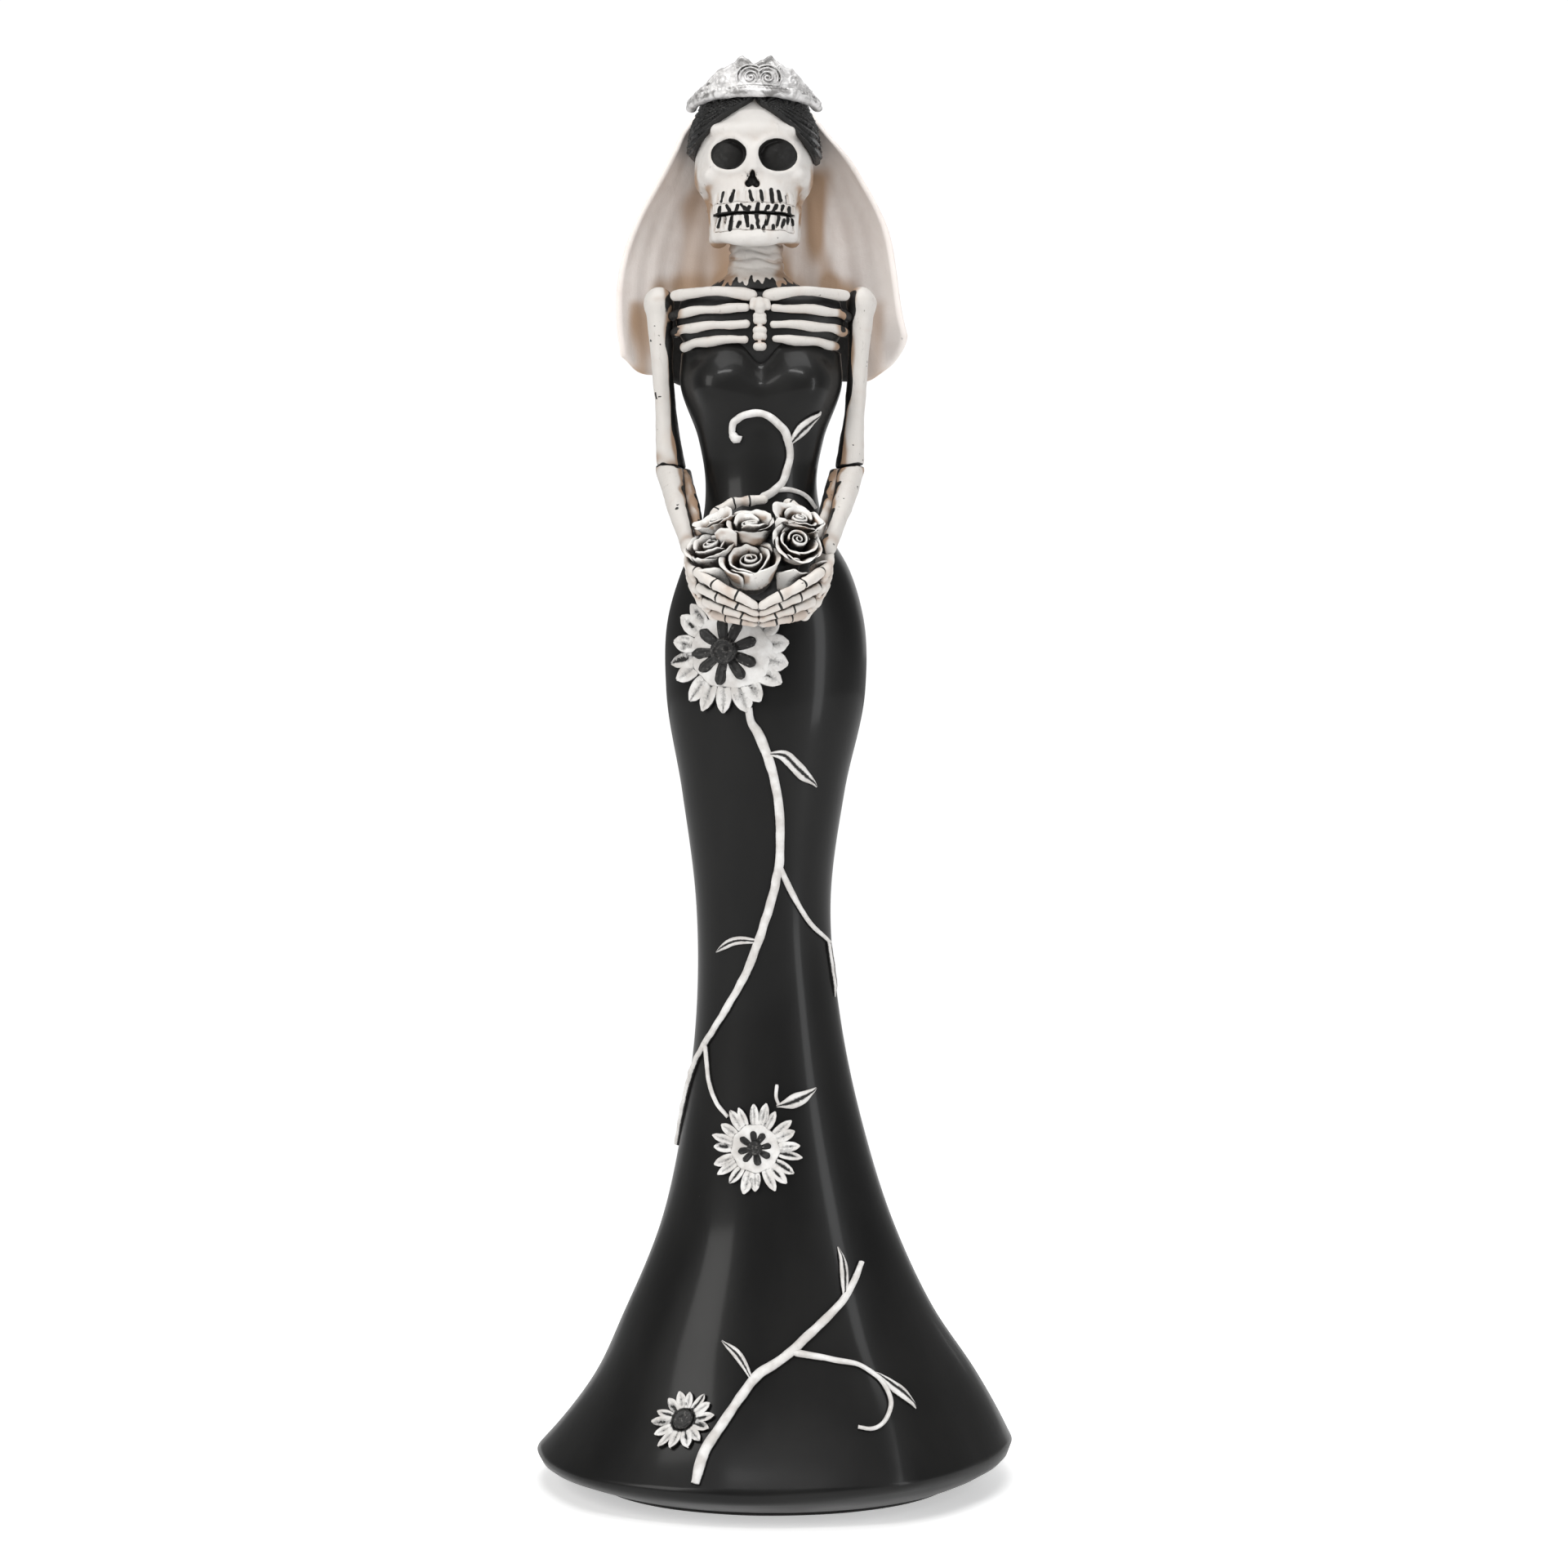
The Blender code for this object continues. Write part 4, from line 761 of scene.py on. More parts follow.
def make_vines():
    make_strips(
        "waist_vine_relief", "waist_vine",
        (WAIST_VINE, stem(0.95, 0.8), 1.15, PLAIN),
        (((-25.5, 224), (-22.0, 222.8), (-20.5, 223.6)), stem(1.0, 1.1), 1.2, PLAIN),
        (WAIST_LEAF, leaf(1.55), 1.0, VEINED),
        (WAIST_CURL, stem(0.7, 0.5), 0.95, PLAIN),
    )
    make_strips(
        "thigh_vine_relief", "thigh_vine",
        (THIGH_VINE, stem(1.1, 0.6), 1.2, PLAIN),
        (THIGH_LEAF, leaf(1.5), 1.0, VEINED),
        (KNEE_BRANCH, stem(0.75, 0.4), 0.95, PLAIN),
        (SIDE_LEAF, leaf(0.95), 0.95, VEINED),
        (SHIN_LEAF, leaf(0.95), 0.95, VEINED),
        (FLOWER_STEM, stem(0.6, 0.45), 0.9, PLAIN),
    )
    make_strips(
        "knee_bud_relief", "knee_bud_leaf",
        (BUD_LEAF, leaf(1.4), 1.0, VEINED),
        (BUD_STEM, stem(0.4, 0.35), 0.8, PLAIN),
    )
    make_strips(
        "hem_vine_relief", "hem_vine",
        (HEM_VINE, stem(1.3, 0.65), 1.3, PLAIN),
        (HEM_TOP_LEAF, leaf(0.95), 1.0, VEINED),
        (HEM_TWIG, leaf(0.9), 1.0, VEINED),
        (HEM_BRANCH, stem(0.85, 0.4), 1.1, PLAIN),
        (HEM_LEAF, leaf(1.35), 1.0, VEINED),
    )


def petal(turn, height, angle, start, end, half_width, lift, seed, groove, curl=0.35, blunt=0.5,
          uneven=0.07, root=0.9):
    """One petal on the gown, from start to end millimetres out from the flower's centre."""
    rows, columns = 22, 11
    t = np.linspace(0, 1, rows)
    length = (end - start) * (1 + uneven * noise_at(np.array([angle * 0.11, seed, 0.5]), 1.0))
    width = half_width * (0.34 + 0.66 * np.sin(np.pi * np.clip(0.1 + t * (1.0 - blunt * 0.22), 0, 1)) ** 0.9)
    width = width * np.clip((1.02 - t) / 0.18, 0, 1) ** 0.45
    width = width * (1 + 0.05 * noise_at(np.array([seed, angle, 2.0]), 1.0))
    across = np.sin(np.linspace(-np.pi / 2, np.pi / 2, columns))
    out = start + length * t[:, None] + 0 * across[None]
    side = width[:, None] * across[None]
    rise = lift * (0.75 + 0.25 * t)[:, None] + curl * (t**2)[:, None] * np.abs(across)[None] ** 2
    valley = np.exp(-((across / 0.3) ** 2))[None]
    rise = rise - groove * valley * np.sin(np.pi * np.clip(t * 1.02, 0, 1))[:, None]
    rise = rise * (1 - 0.4 * np.abs(across)[None] ** 6)
    rise = rise + 0.08 * noise_at(np.stack([out + seed, side, out * 0], -1), 0.9)
    c, s = math.cos(angle), math.sin(angle)
    right, up = out * c - side * s, out * s + side * c
    top = gown_offset(turn, height, right, up, rise)
    bottom = gown_offset(turn, height, right * 0.999, up * 0.999, np.full_like(rise, RELIEF_ROOT))
    points, faces = shell_mesh(top, bottom)
    dip = valley * np.sin(np.pi * t)[:, None]
    rim = (np.abs(across)[None] > 0.93) * np.ones((rows, 1))
    scratch = noise_at(np.stack([side * 1.5, out * 0.3, 0 * out + seed * 3.1], -1), 1.0)
    crease = dip * 0.45 + rim * 0.75 + root * (1 - ease(0, 0.16, t))[:, None]
    crease = np.clip(crease + 0.4 * ease(0.3, 0.55, scratch) * root, 0, 1)
    marks = np.concatenate([crease.ravel(), np.ones(crease.size)])
    return points, faces, marks


def merged_side(angle, side):
    """1 where a flower's petals have run into its disc, around the direction side in degrees."""
    off = (np.degrees(angle) - side + 180) % 360 - 180
    return np.exp(-((off / 52) ** 4))


def disc(turn, height, radius, lift, seed, merged):
    """The flat middle of a flower, uneven as if modelled by hand."""
    sides, rings = 96, 14
    r = np.linspace(1, 0.02, rings)[:, None]
    a = (np.arange(sides) * 2 * np.pi / sides)[None]
    swell = 0 if merged is None else 0.30 * merged_side(a, merged)
    reach = radius * r * (1 + 0.03 * np.cos(a * 9 + seed) + swell)
    rise = lift + 0.22 * noise_at(np.stack([reach * np.cos(a), reach * np.sin(a), 0 * reach + seed], -1), 1.5)
    rise = rise * np.minimum(1, (1.02 - r) / 0.06 + 0.25)
    top = gown_offset(turn, height, reach * np.cos(a), reach * np.sin(a), rise)
    root = np.full((1, sides), RELIEF_ROOT)
    skirt = gown_offset(turn, height, reach[:1] * np.cos(a), reach[:1] * np.sin(a), root)
    points, faces = tube_mesh(np.concatenate([skirt, top]))
    marks = np.clip(0.8 * (r > 0.96) + 0 * a, 0, 1)
    marks = np.concatenate([np.ones(sides), np.ones(sides), marks.ravel(), np.zeros(sides)])
    return points, faces[:, ::-1], marks


def make_flower(name, node, turn, height, count, radii, width, lift, phase, merged=None):
    """White petals around a disc. radii are where the petals start and end, and the disc's rim."""
    start, end, rim = radii
    parts = []
    for i in range(count):
        angle = 2 * math.pi * i / count + math.radians(phase + 3 * math.sin(i * 2.4))
        together = 0 if merged is None else merged_side(angle, merged)
        parts.append(petal(turn, height, angle, start, end + 0.4 * math.sin(i * 3.7),
                           width * (1.08 + 0.12 * math.sin(i * 1.9) + 0.35 * together), lift,
                           i * 1.7 + count, groove=0.3 - 0.25 * together, root=0.9 - 0.8 * together))
    if rim:
        parts.append(disc(turn, height, rim, lift * 0.95, count, merged))
    make_relief(name, node, parts, WHITE, 0.5, 0.6)


def make_heart(name, node, turn, height, count, radii, width, lift, phase, boss):
    """The black middle of a flower: pointed petals around a turned boss."""
    start, end = radii
    parts = []
    for i in range(count):
        angle = 2 * math.pi * i / count + math.radians(phase + 4 * math.sin(i * 2.1))
        parts.append(petal(turn, height, angle, start, end, width, lift, i * 2.3 + count, curl=0.1,
                           groove=0.18, blunt=1.6, uneven=0.12))
    sides = 64
    a = np.arange(sides) * 2 * np.pi / sides
    points, faces = tube_mesh([gown_offset(turn, height, radius * np.cos(a), radius * np.sin(a),
                                           np.full(sides, rise)) for radius, rise in boss])
    parts.append((points, faces[:, ::-1], np.zeros(len(points))))
    make_relief(name, node, parts, BLACK, 1, 0.75)


HIP_FLOWER, KNEE_FLOWER, HEM_FLOWER = (-22.1, 177.4), (-10.4, 73.3), (-28.3, 20.1)  # turn, height


def make_flowers():
    make_flower("hip_flower_petals", "hip_flower", *HIP_FLOWER, 18, (6.6, 13.3, 7.9), 1.85, 1.15, 8, -12)
    make_heart("hip_flower_heart", "hip_flower_star", *HIP_FLOWER, 9, (1.6, 6.9), 1.25, 1.75, 20,
               ((2.7, 0.9), (2.75, 2.1), (2.6, 2.5), (2.2, 2.75), (1.75, 2.7), (1.5, 2.45), (1.2, 2.5),
                (0.6, 2.85), (0.2, 2.9)))
    make_flower("knee_flower_petals", "knee_flower", *KNEE_FLOWER, 20, (4.4, 9.3, 5.2), 1.1, 1.0, 3)
    make_heart("knee_flower_heart", "knee_flower_star", *KNEE_FLOWER, 8, (0.9, 3.5), 0.75, 1.4, 10,
               ((1.5, 0.8), (1.5, 1.6), (1.3, 1.85), (1.0, 1.8), (0.8, 1.65), (0.5, 1.75), (0.15, 1.9)))
    make_flower("hem_flower_petals", "hem_flower", *HEM_FLOWER, 14, (2.2, 6.3, 0), 1.05, 1.05, 12)
    make_heart("hem_flower_heart", "hem_flower_centre", *HEM_FLOWER, 0, (0, 0), 1, 1, 0,
               ((2.05, -0.2), (2.1, 0.9), (1.95, 1.35), (1.6, 1.5), (1.25, 1.35), (0.8, 1.4), (0.2, 1.55)))


# ---------------------------------------------------------------- head

CRANIUM_CENTRE, CRANIUM_SIZE = np.array((HEAD_X, 2.2, 283.5)), np.array((12.4, 13.3, 17.6))
FACE_PROFILE = (  # height, half width, y of the front, y of the back, squareness
    (270.15, 8.7, -11.7, 0.0, 2.5),
    (272.3, 8.8, -11.8, 0.5, 2.4),
    (274.3, 8.7, -11.4, 1.0, 2.3),
    (275.7, 9.5, -11.1, 4.0, 2.4),
    (277.0, 10.9, -10.9, 7.5, 2.6),
    (278.6, 12.1, -10.5, 9.5, 2.8),
    (281.0, 12.3, -10.3, 11.0, 2.8),
    (285.0, 11.9, -10.5, 12.0, 2.7),
    (288.6, 11.5, -10.9, 12.5, 2.5),
    (291.5, 11.0, -9.9, 13.0, 2.3),
    (295.0, 9.5, -7.6, 13.0, 2.1),
)
JAW_PROFILE = (  # as for the face
    (262.6, 6.6, -11.0, 4.0, 2.5),
    (263.8, 8.1, -11.9, 5.0, 2.6),
    (265.2, 9.0, -12.1, 5.4, 2.5),
    (266.6, 9.2, -11.8, 5.4, 2.4),
    (270.2, 8.9, -11.5, 5.4, 2.4),
)
# the two upright bars at each end of the jaw: points (out, y, height), radii, fillet
JAW_BRANCHES = (
    (((8.0, -1.5, 266.4), (8.4, 0.6, 269.0), (8.7, 2.4, 271.6), (9.1, 3.4, 274.3)),
     (1.6, 1.5, 1.35, 1.15), 1.2),
    (((8.0, -7.0, 266.0), (8.3, -6.2, 269.5), (8.6, -4.6, 272.5), (8.9, -2.4, 274.6)),
     (1.2, 1.05, 0.95, 0.8), 1.0),
)
# x, height, half width, half height, roll
EYES = ((-9.75, 282.6, 3.55, 3.0, -8), (0.65, 282.5, 3.85, 3.2, 6))
NOSE = (-4.75, 276.9)
# x, height, half sizes
NOSE_LOBES = ((0.05, 1.0, 0.6, 1.1), (0, 0.1, 1.0, 1.1), (-0.75, -0.6, 0.8, 0.8), (0.8, -0.6, 0.75, 0.8))
# height, depth, spread
NECK_GROOVES = ((260.4, 0.40, 0.5), (262.3, 0.60, 0.35), (264.1, 0.40, 0.4), (266.2, 0.65, 0.4),
                (268.6, 0.5, 0.45), (270.8, 0.5, 0.4), (273.0, 0.4, 0.4))
ARCH_CENTRE, ARCH_SIZE = (HEAD_X + 0.1, -2.6), (8.9, 9.2)
UPPER_SPLIT, LOWER_SPLIT, TEETH_END = 272.3, 266.5, 57.0
# cuts between the teeth: turn, height, length, lean
ROOT_CUTS = ((-41, 273.7, 1.9, 8), (-28, 273.8, 2.0, 12), (-4, 273.6, 1.8, -14), (10, 273.5, 2.2, -8),
             (23, 273.7, 2.6, -6), (33, 273.7, 2.0, -10), (43, 273.2, 1.2, -12))
TIP_CUTS = ((-45, 271.0, 0.9, 10), (-33, 271.2, 1.3, -25), (-22, 271.0, 1.2, 16), (-14, 271.4, 0.8, -50),
            (-7, 270.9, 0.9, 22), (5, 271.2, 1.6, 10), (17, 271.0, 0.9, 35), (27, 271.0, 1.3, 28),
            (37, 271.3, 0.9, 20), (47, 271.0, 1.3, -8))
LOWER_CUTS = ((-50, 268.5, 1.5, 12), (-40, 268.8, 0.9, -6), (-31, 268.0, 2.4, 6), (-20, 267.6, 0.8, 20),
              (-9, 268.3, 2.1, -6), (-3, 267.0, 0.6, 0), (5, 268.2, 2.5, -8), (13, 266.9, 0.6, 30),
              (18, 268.7, 1.8, 16), (25, 267.1, 0.5, 0), (32, 268.5, 1.7, 12), (39, 268.1, 1.5, 22),
              (47, 268.9, 1.0, 10), (56, 268.8, 0.9, 6))


def outline(b, profile, centre_x):
    """Distance to a form with a rounded-square section at each height of a profile."""
    heights = b.at[0, 0, :, 2]
    table = np.asarray(profile, float)
    half_width, front, back, square = np.moveaxis(spline(table, heights), -1, 0)
    middle, depth = (front + back) / 2, (back - front) / 2
    x = np.abs(b.at[..., 0] - centre_x) / half_width
    y = np.abs(b.at[..., 1] - middle) / depth
    k = (x**square + y**square) ** (1 / square)
    side = (k - 1) * np.minimum(half_width, depth)
    return np.maximum(side, np.maximum(table[0, 0] - heights, heights - table[-1, 0])).astype(np.float32)


def oval_share(points, x, height, half_width, half_height, roll):
    """1 on the rim of an oval seen from the front, less inside it."""
    c, s = math.cos(math.radians(roll)), math.sin(math.radians(roll))
    across, up = points[..., 0] - x, points[..., 2] - height
    return np.sqrt(((across * c + up * s) / half_width) ** 2 + ((up * c - across * s) / half_height) ** 2)


def arch_turn(points):
    """Degrees around the dental arch from its middle towards +X."""
    return np.degrees(np.arctan2(points[..., 0] - ARCH_CENTRE[0], ARCH_CENTRE[1] - points[..., 1]))


def arch_point(b, turn, height, lift):
    """A point lift millimetres in front of the carved surface around the dental arch."""
    a = math.radians(turn)
    middle, ahead = np.array((*ARCH_CENTRE, height)), np.array((math.sin(a), -math.cos(a), 0))
    return middle + ahead * (b.outermost(middle, ahead, 13.0) + lift)


def tooth_ridges(b, low, high, pitch, depth, shift):
    """Rounds the band between two heights into a row of uneven teeth."""
    turn, height = arch_turn(b.at), b.at[..., 2]
    t = turn / pitch + shift + 0.22 * np.sin(turn * 0.13 + shift * 5)
    ridge = np.abs(2 * (t - np.floor(t)) - 1) ** 4
    inside = ease(low - 0.3, low + 0.4, height) * ease(high + 0.4, high - 0.5, height)
    inside = inside * ease(64, 56, np.abs(turn))
    b.field += (depth * (ridge - 0.35) * inside).astype(np.float32)


def cut_teeth(b, cuts, lift):
    """Short knife cuts between the teeth; returns where ink gathers in them."""
    marks = []
    for i, (turn, height, length, lean) in enumerate(cuts):
        shift = math.degrees(math.sin(math.radians(lean)) * length / 2 / ARCH_SIZE[0])
        low = arch_point(b, turn - shift, height - length / 2, lift)
        high = arch_point(b, turn + shift, height + length / 2, lift)
        radii = 0.24 + 0.18 * hashed(np.array([[i, len(cuts), 7], [i, len(cuts), 12]]))
        marks.append((low, high, *radii))
    for low, high, low_radius, high_radius in marks:
        b.cut(b.rod(low, high, low_radius, high_radius), 0.2)
    return marks


def near_cuts(marks, points):
    """1 in the cuts, fading to 0 beside them."""
    near = np.full(len(points), 9.0)
    for low, high, low_radius, high_radius in marks:
        along = high - low
        t = np.clip((points - low) @ along / (along @ along), 0, 1)
        reach = np.linalg.norm(points - low - t[:, None] * along, axis=1)
        near = np.minimum(near, reach - 0.08 - low_radius - (high_radius - low_radius) * t)
    return np.clip(0.62 - (near + 0.12 * noise_at(points, 0.7, 2)) / 0.35, 0, 1)


def add_head_form(b):
    """The smooth skull that the face is carved from and the hair lies on."""
    b.add(b.ball(CRANIUM_CENTRE, CRANIUM_SIZE))
    b.add(outline(b, FACE_PROFILE, HEAD_X), 2.0)


# height, radius; the neck spreads out below NECK_FLARE_TOP
NECK_PROFILE = ((255.2, 10.8), (256.3, 9.9), (257.6, 8.2), (259.2, 6.85), (261, 6.2), (268, 6.0),
                (272, 6.1), (275, 6.2))
NECK_FLARE_TOP = 259
HEAD_STEP, HAIR_STEP, NECK_STEP = 0.25, 0.24, 0.27  # of the blocks that they are carved from


def make_upper_head():
    """Skull and upper teeth, carved together and then split."""
    b = Block((-18.5, -14.0, 269.4), (9.5, 17.0, 302.0), HEAD_STEP)
    add_head_form(b)
    b.add(b.ball((HEAD_X, -5.4, 275.0), (7.6, 6.3, 3.6)), 2.0)
    for x, height, half_width, half_height, roll in EYES:
        k = oval_share(b.at, x, height, half_width, half_height, roll)
        front = ease(2.0, -7.0, b.at[..., 1])
        b.field -= (0.6 * np.exp(-(((k - 1.24) / 0.24) ** 2)) * front).astype(np.float32)
    for side in (-1, 1):
        b.add(b.chain(((HEAD_X + side * 9.4, -8.2, 278.6), (HEAD_X + side * 10.5, -3.0, 279.8),
                       (HEAD_X + side * 10.7, 4.0, 281.0)), (1.3, 1.3, 1.2)), 1.4)
        b.cut(b.ball((HEAD_X + side * 14.0, -0.5, 275.4), (4.7, 9.0, 2.6)), 0.8)
        b.cut(b.ball((HEAD_X + side * 7.9, -13.0, 275.4), (2.0, 2.3, 1.3)), 1.2)
    b.add(b.chain(((NOSE[0] + 0.1, -10.6, 283.0), (NOSE[0], -11.2, 280.8), (NOSE[0], -11.6, 279.4)),
                  (1.3, 1.2, 0.9)), 2.0)
    b.add(b.chain(((HEAD_X - 8.0, -9.4, 288.2), (HEAD_X - 2.0, -10.4, 287.8), (HEAD_X + 2.0, -10.4, 287.8),
                   (HEAD_X + 8.0, -9.4, 288.2)), (1.0, 1.2, 1.2, 1.0)), 1.6)
    for x, height, half_width, half_height, roll in EYES:
        k = oval_share(b.at, x, height, half_width, half_height, roll)
        bowl = np.maximum((k - 1) * half_height, b.at[..., 1] + 9.9 + 0.9 * (1 - k))
        b.cut(bowl.astype(np.float32), 0.5)
    for dx, dz, wide, tall in NOSE_LOBES:
        b.cut(b.ball((NOSE[0] + dx, -12.2, NOSE[1] + dz), (wide + 0.1, 2.0, tall + 0.1)), 0.2)
    tooth_ridges(b, 270.2, 272.2, 9.8, 0.5, 0.3)
    tooth_ridges(b, 272.4, 274.9, 10.6, 0.55, 0.75)
    b.roughen(0.15, 3.4, 2)
    b.roughen(0.06, 0.9, 5)
    roots = cut_teeth(b, ROOT_CUTS, 0.15)
    tips = cut_teeth(b, TIP_CUTS, 0.1)
    wave = 0.15 * np.sin(arch_turn(b.at) * 0.21)
    bite = (270.2 + 0.7 * wave - b.at[..., 2]).astype(np.float32)
    b.field = np.maximum(b.field, bite)

    def ink_and_shade(points):
        marks = near_cuts(roots + tips, points)
        for x, height, half_width, half_height, roll in EYES:
            k = oval_share(points, x, height, half_width, half_height, roll)
            k = k + 0.03 * noise_at(points, 1.4, 4)
            socket = np.clip(0.5 + (1.08 - k) * half_height / 0.5, 0, 1) * (points[:, 1] < -4)
            marks = np.maximum(marks, socket)
        nose = np.full(len(points), 9.0)
        for dx, dz, wide, tall in NOSE_LOBES:
            lobe = (oval_share(points, NOSE[0] + dx, NOSE[1] + dz, wide, tall, 0) - 1) * wide
            nose = np.minimum(nose, lobe)
        marks = np.maximum(marks, np.clip(0.6 - nose / 0.4, 0, 1) * (points[:, 1] < -7))
        return np.maximum(marks, ease(270.5, 270.35, points[:, 2]))

    # brown wash under the cheekbones and in the temples, which is partly painted shade in these hollows
    def wash_and_shade(points):
        side = np.abs(points[:, 0] - HEAD_X)
        below = ease(277.8, 276.0, points[:, 2])
        cheek = ease(8.0, 10.0, side) * below * ease(-11.0, -7.5, points[:, 1])
        temple = ease(11.0, 12.6, side) * ease(285, 279, points[:, 2]) * ease(-7.5, -3, points[:, 1])
        return np.clip(0.95 * np.maximum(cheek, temple) + 0.25 * noise_at(points, 2.0, 8) * (below > 0.5),
                       0, 1)

    split = (UPPER_SPLIT + wave - b.at[..., 2]).astype(np.float32)
    whole = b.field
    b.field = np.maximum(whole, split)
    b.piece("skull_carving", SKULL, ["skull"], ink_and_shade=ink_and_shade, wash_and_shade=wash_and_shade)
    b.field = np.maximum(whole, -split)
    b.piece("upper_teeth_carving", SKULL, ["upper_teeth"], ink_and_shade=ink_and_shade)


def make_lower_head():
    """Jaw and lower teeth, carved together and then split."""
    b = Block((-16.5, -14.0, 261.8), (7.5, 7.5, 276.5), HEAD_STEP)
    x = HEAD_X + 0.15
    b.add(outline(b, JAW_PROFILE, x))
    b.cut(b.ball((x, 1.5, 266.0), (6.6, 9.6, 9.0)), 0.6)
    underside = 263.4 + 0.17 * (b.at[..., 1] + 11.5) + 0.012 * (b.at[..., 0] - x) ** 2
    b.cut((b.at[..., 2] - underside).astype(np.float32), 1.0)
    for side in (-1, 1):
        b.cut(b.ball((x + side * 6.0, 4.0, 269.2), (7.0, 7.6, 2.6)), 0.5)
        for branch, radii, blend in JAW_BRANCHES:
            b.add(b.chain([(x + side * out, y, z) for out, y, z in branch], radii), blend)
    b.add(b.ball((x, -10.2, 264.8), (4.6, 2.1, 1.2)), 1.2)
    tooth_ridges(b, 266.7, 269.8, 9.6, 0.5, 0.1)
    b.roughen(0.14, 2.8, 6)
    b.roughen(0.06, 0.9, 9)
    cuts = cut_teeth(b, LOWER_CUTS, 0.1)
    turn = arch_turn(b.at)

    def ink_and_shade(points):
        crown = ease(269.6, 269.75, points[:, 2]) * ease(TEETH_END + 2, TEETH_END - 2,
                                                         np.abs(arch_turn(points)))
        inside = np.hypot(points[:, 0] - ARCH_CENTRE[0], points[:, 1] - ARCH_CENTRE[1]) < 7.0
        return np.maximum(near_cuts(cuts, points), np.maximum(crown, 1.0 * inside * (points[:, 2] > 266)))

    # painted shade under the jaw and at its back towards the skull, with some brown wash
    def wash_and_shade(points):
        rear = ease(-8.0, -3.0, points[:, 1])
        beneath = ease(264.6, 263.4, points[:, 2] - 0.17 * (points[:, 1] + 11.5))
        beneath = beneath * ease(-10.5, -8.0, points[:, 1])
        joint = ease(268.5, 272.5, points[:, 2])
        return np.clip(0.85 * beneath + 0.9 * joint * rear + 0.35 * rear, 0, 1)

    whole = b.field
    outside = ((np.abs(turn) - TEETH_END) * 0.15).astype(np.float32)
    above = (b.at[..., 2] - LOWER_SPLIT - 0.15 * np.sin(turn * 0.2)).astype(np.float32)
    b.field = np.maximum(whole, np.minimum(above, -outside))
    b.piece("jaw_carving", SKULL, ["jaw"], ink_and_shade=ink_and_shade, wash_and_shade=wash_and_shade)
    crown = (b.at[..., 2] - 270.0 - 0.1 * np.sin(turn * 0.21)).astype(np.float32)
    b.field = np.maximum(np.maximum(whole, crown), np.maximum(-above, outside))
    b.piece("lower_teeth_carving", SKULL, ["lower_teeth"], ink_and_shade=ink_and_shade)


def make_neck():
    """The neck: a ringed column that spreads over the chest in ragged paint."""
    x, y = HEAD_X + 0.4, 2.6
    b = Block((x - 13.5, y - 11.5, 254.9), (x + 13.5, y + 11.5, 275.6), NECK_STEP)
    rows = []
    for height, radius in NECK_PROFILE:
        half_width, depth = radius * (1.0 if height > NECK_FLARE_TOP else 1.12), min(radius, 8.6)
        rows.append((height, half_width, y - depth, y + depth, 2.0))
    b.add(outline(b, rows, x))
    height, turn = b.at[..., 2], np.arctan2(b.at[..., 0] - x, y - b.at[..., 1])
    wave = height + 0.35 * np.sin(turn * 2 + 0.6) + 0.3 * np.sin(turn * 5 + height)
    for level, depth, spread in NECK_GROOVES:
        groove = depth * np.exp(-(((wave - level) / spread) ** 2))
        b.field += (groove * (0.75 + 0.25 * np.sin(turn * 3 + level))).astype(np.float32)
    b.roughen(0.2, 2.6, 4)
    b.roughen(0.07, 0.9, 7)

    # brown wash that is partly painted shade: on the sides and back, under the jaw and at the base
    def wash_and_shade(points):
        side = np.abs(points[:, 0] - x)
        shade = 0.9 * ease(3.2, 6.0, side) + 0.5 * ease(263.5, 269, points[:, 2]) + 0.25 * (points[:, 1] > y)
        shade += 0.45 * ease(261.5, 258, points[:, 2])
        return np.clip(shade * (0.85 + 0.4 * noise_at(points * (1, 1, 2), 2.2, 3)), 0, 1)

    def ink_and_shade(points):
        turn = np.arctan2(points[:, 0] - x, y - points[:, 1])
        spikes = 1.1 * np.sin(turn * 9) * np.sin(turn * 23 + 1) + 0.9 * noise_at(points, 1.2, 12)
        return 0.9 * ease(257.6, 256.4, points[:, 2] - spikes)

    b.piece("neck_carving", BONE, ["neck_vertebrae"], wash_and_shade=wash_and_shade, ink_and_shade=ink_and_shade)


PART = (-4.3, 295.4)  # where the hair is parted, seen from the front
# across from the part, height
FRONT_HAIRLINE = ((-13.0, 284.4), (-11.2, 286.4), (-6.5, 290.4), (-1.6, 293.5), (0, 294.7), (1.2, 293.2),
                  (5.0, 290.6), (8.7, 287.4), (11.3, 284.6), (13.0, 282.8))
SIDE_HAIRLINE = ((-3, 284.8), (3, 285.2), (9, 285.0), (16, 283.0))  # y, height


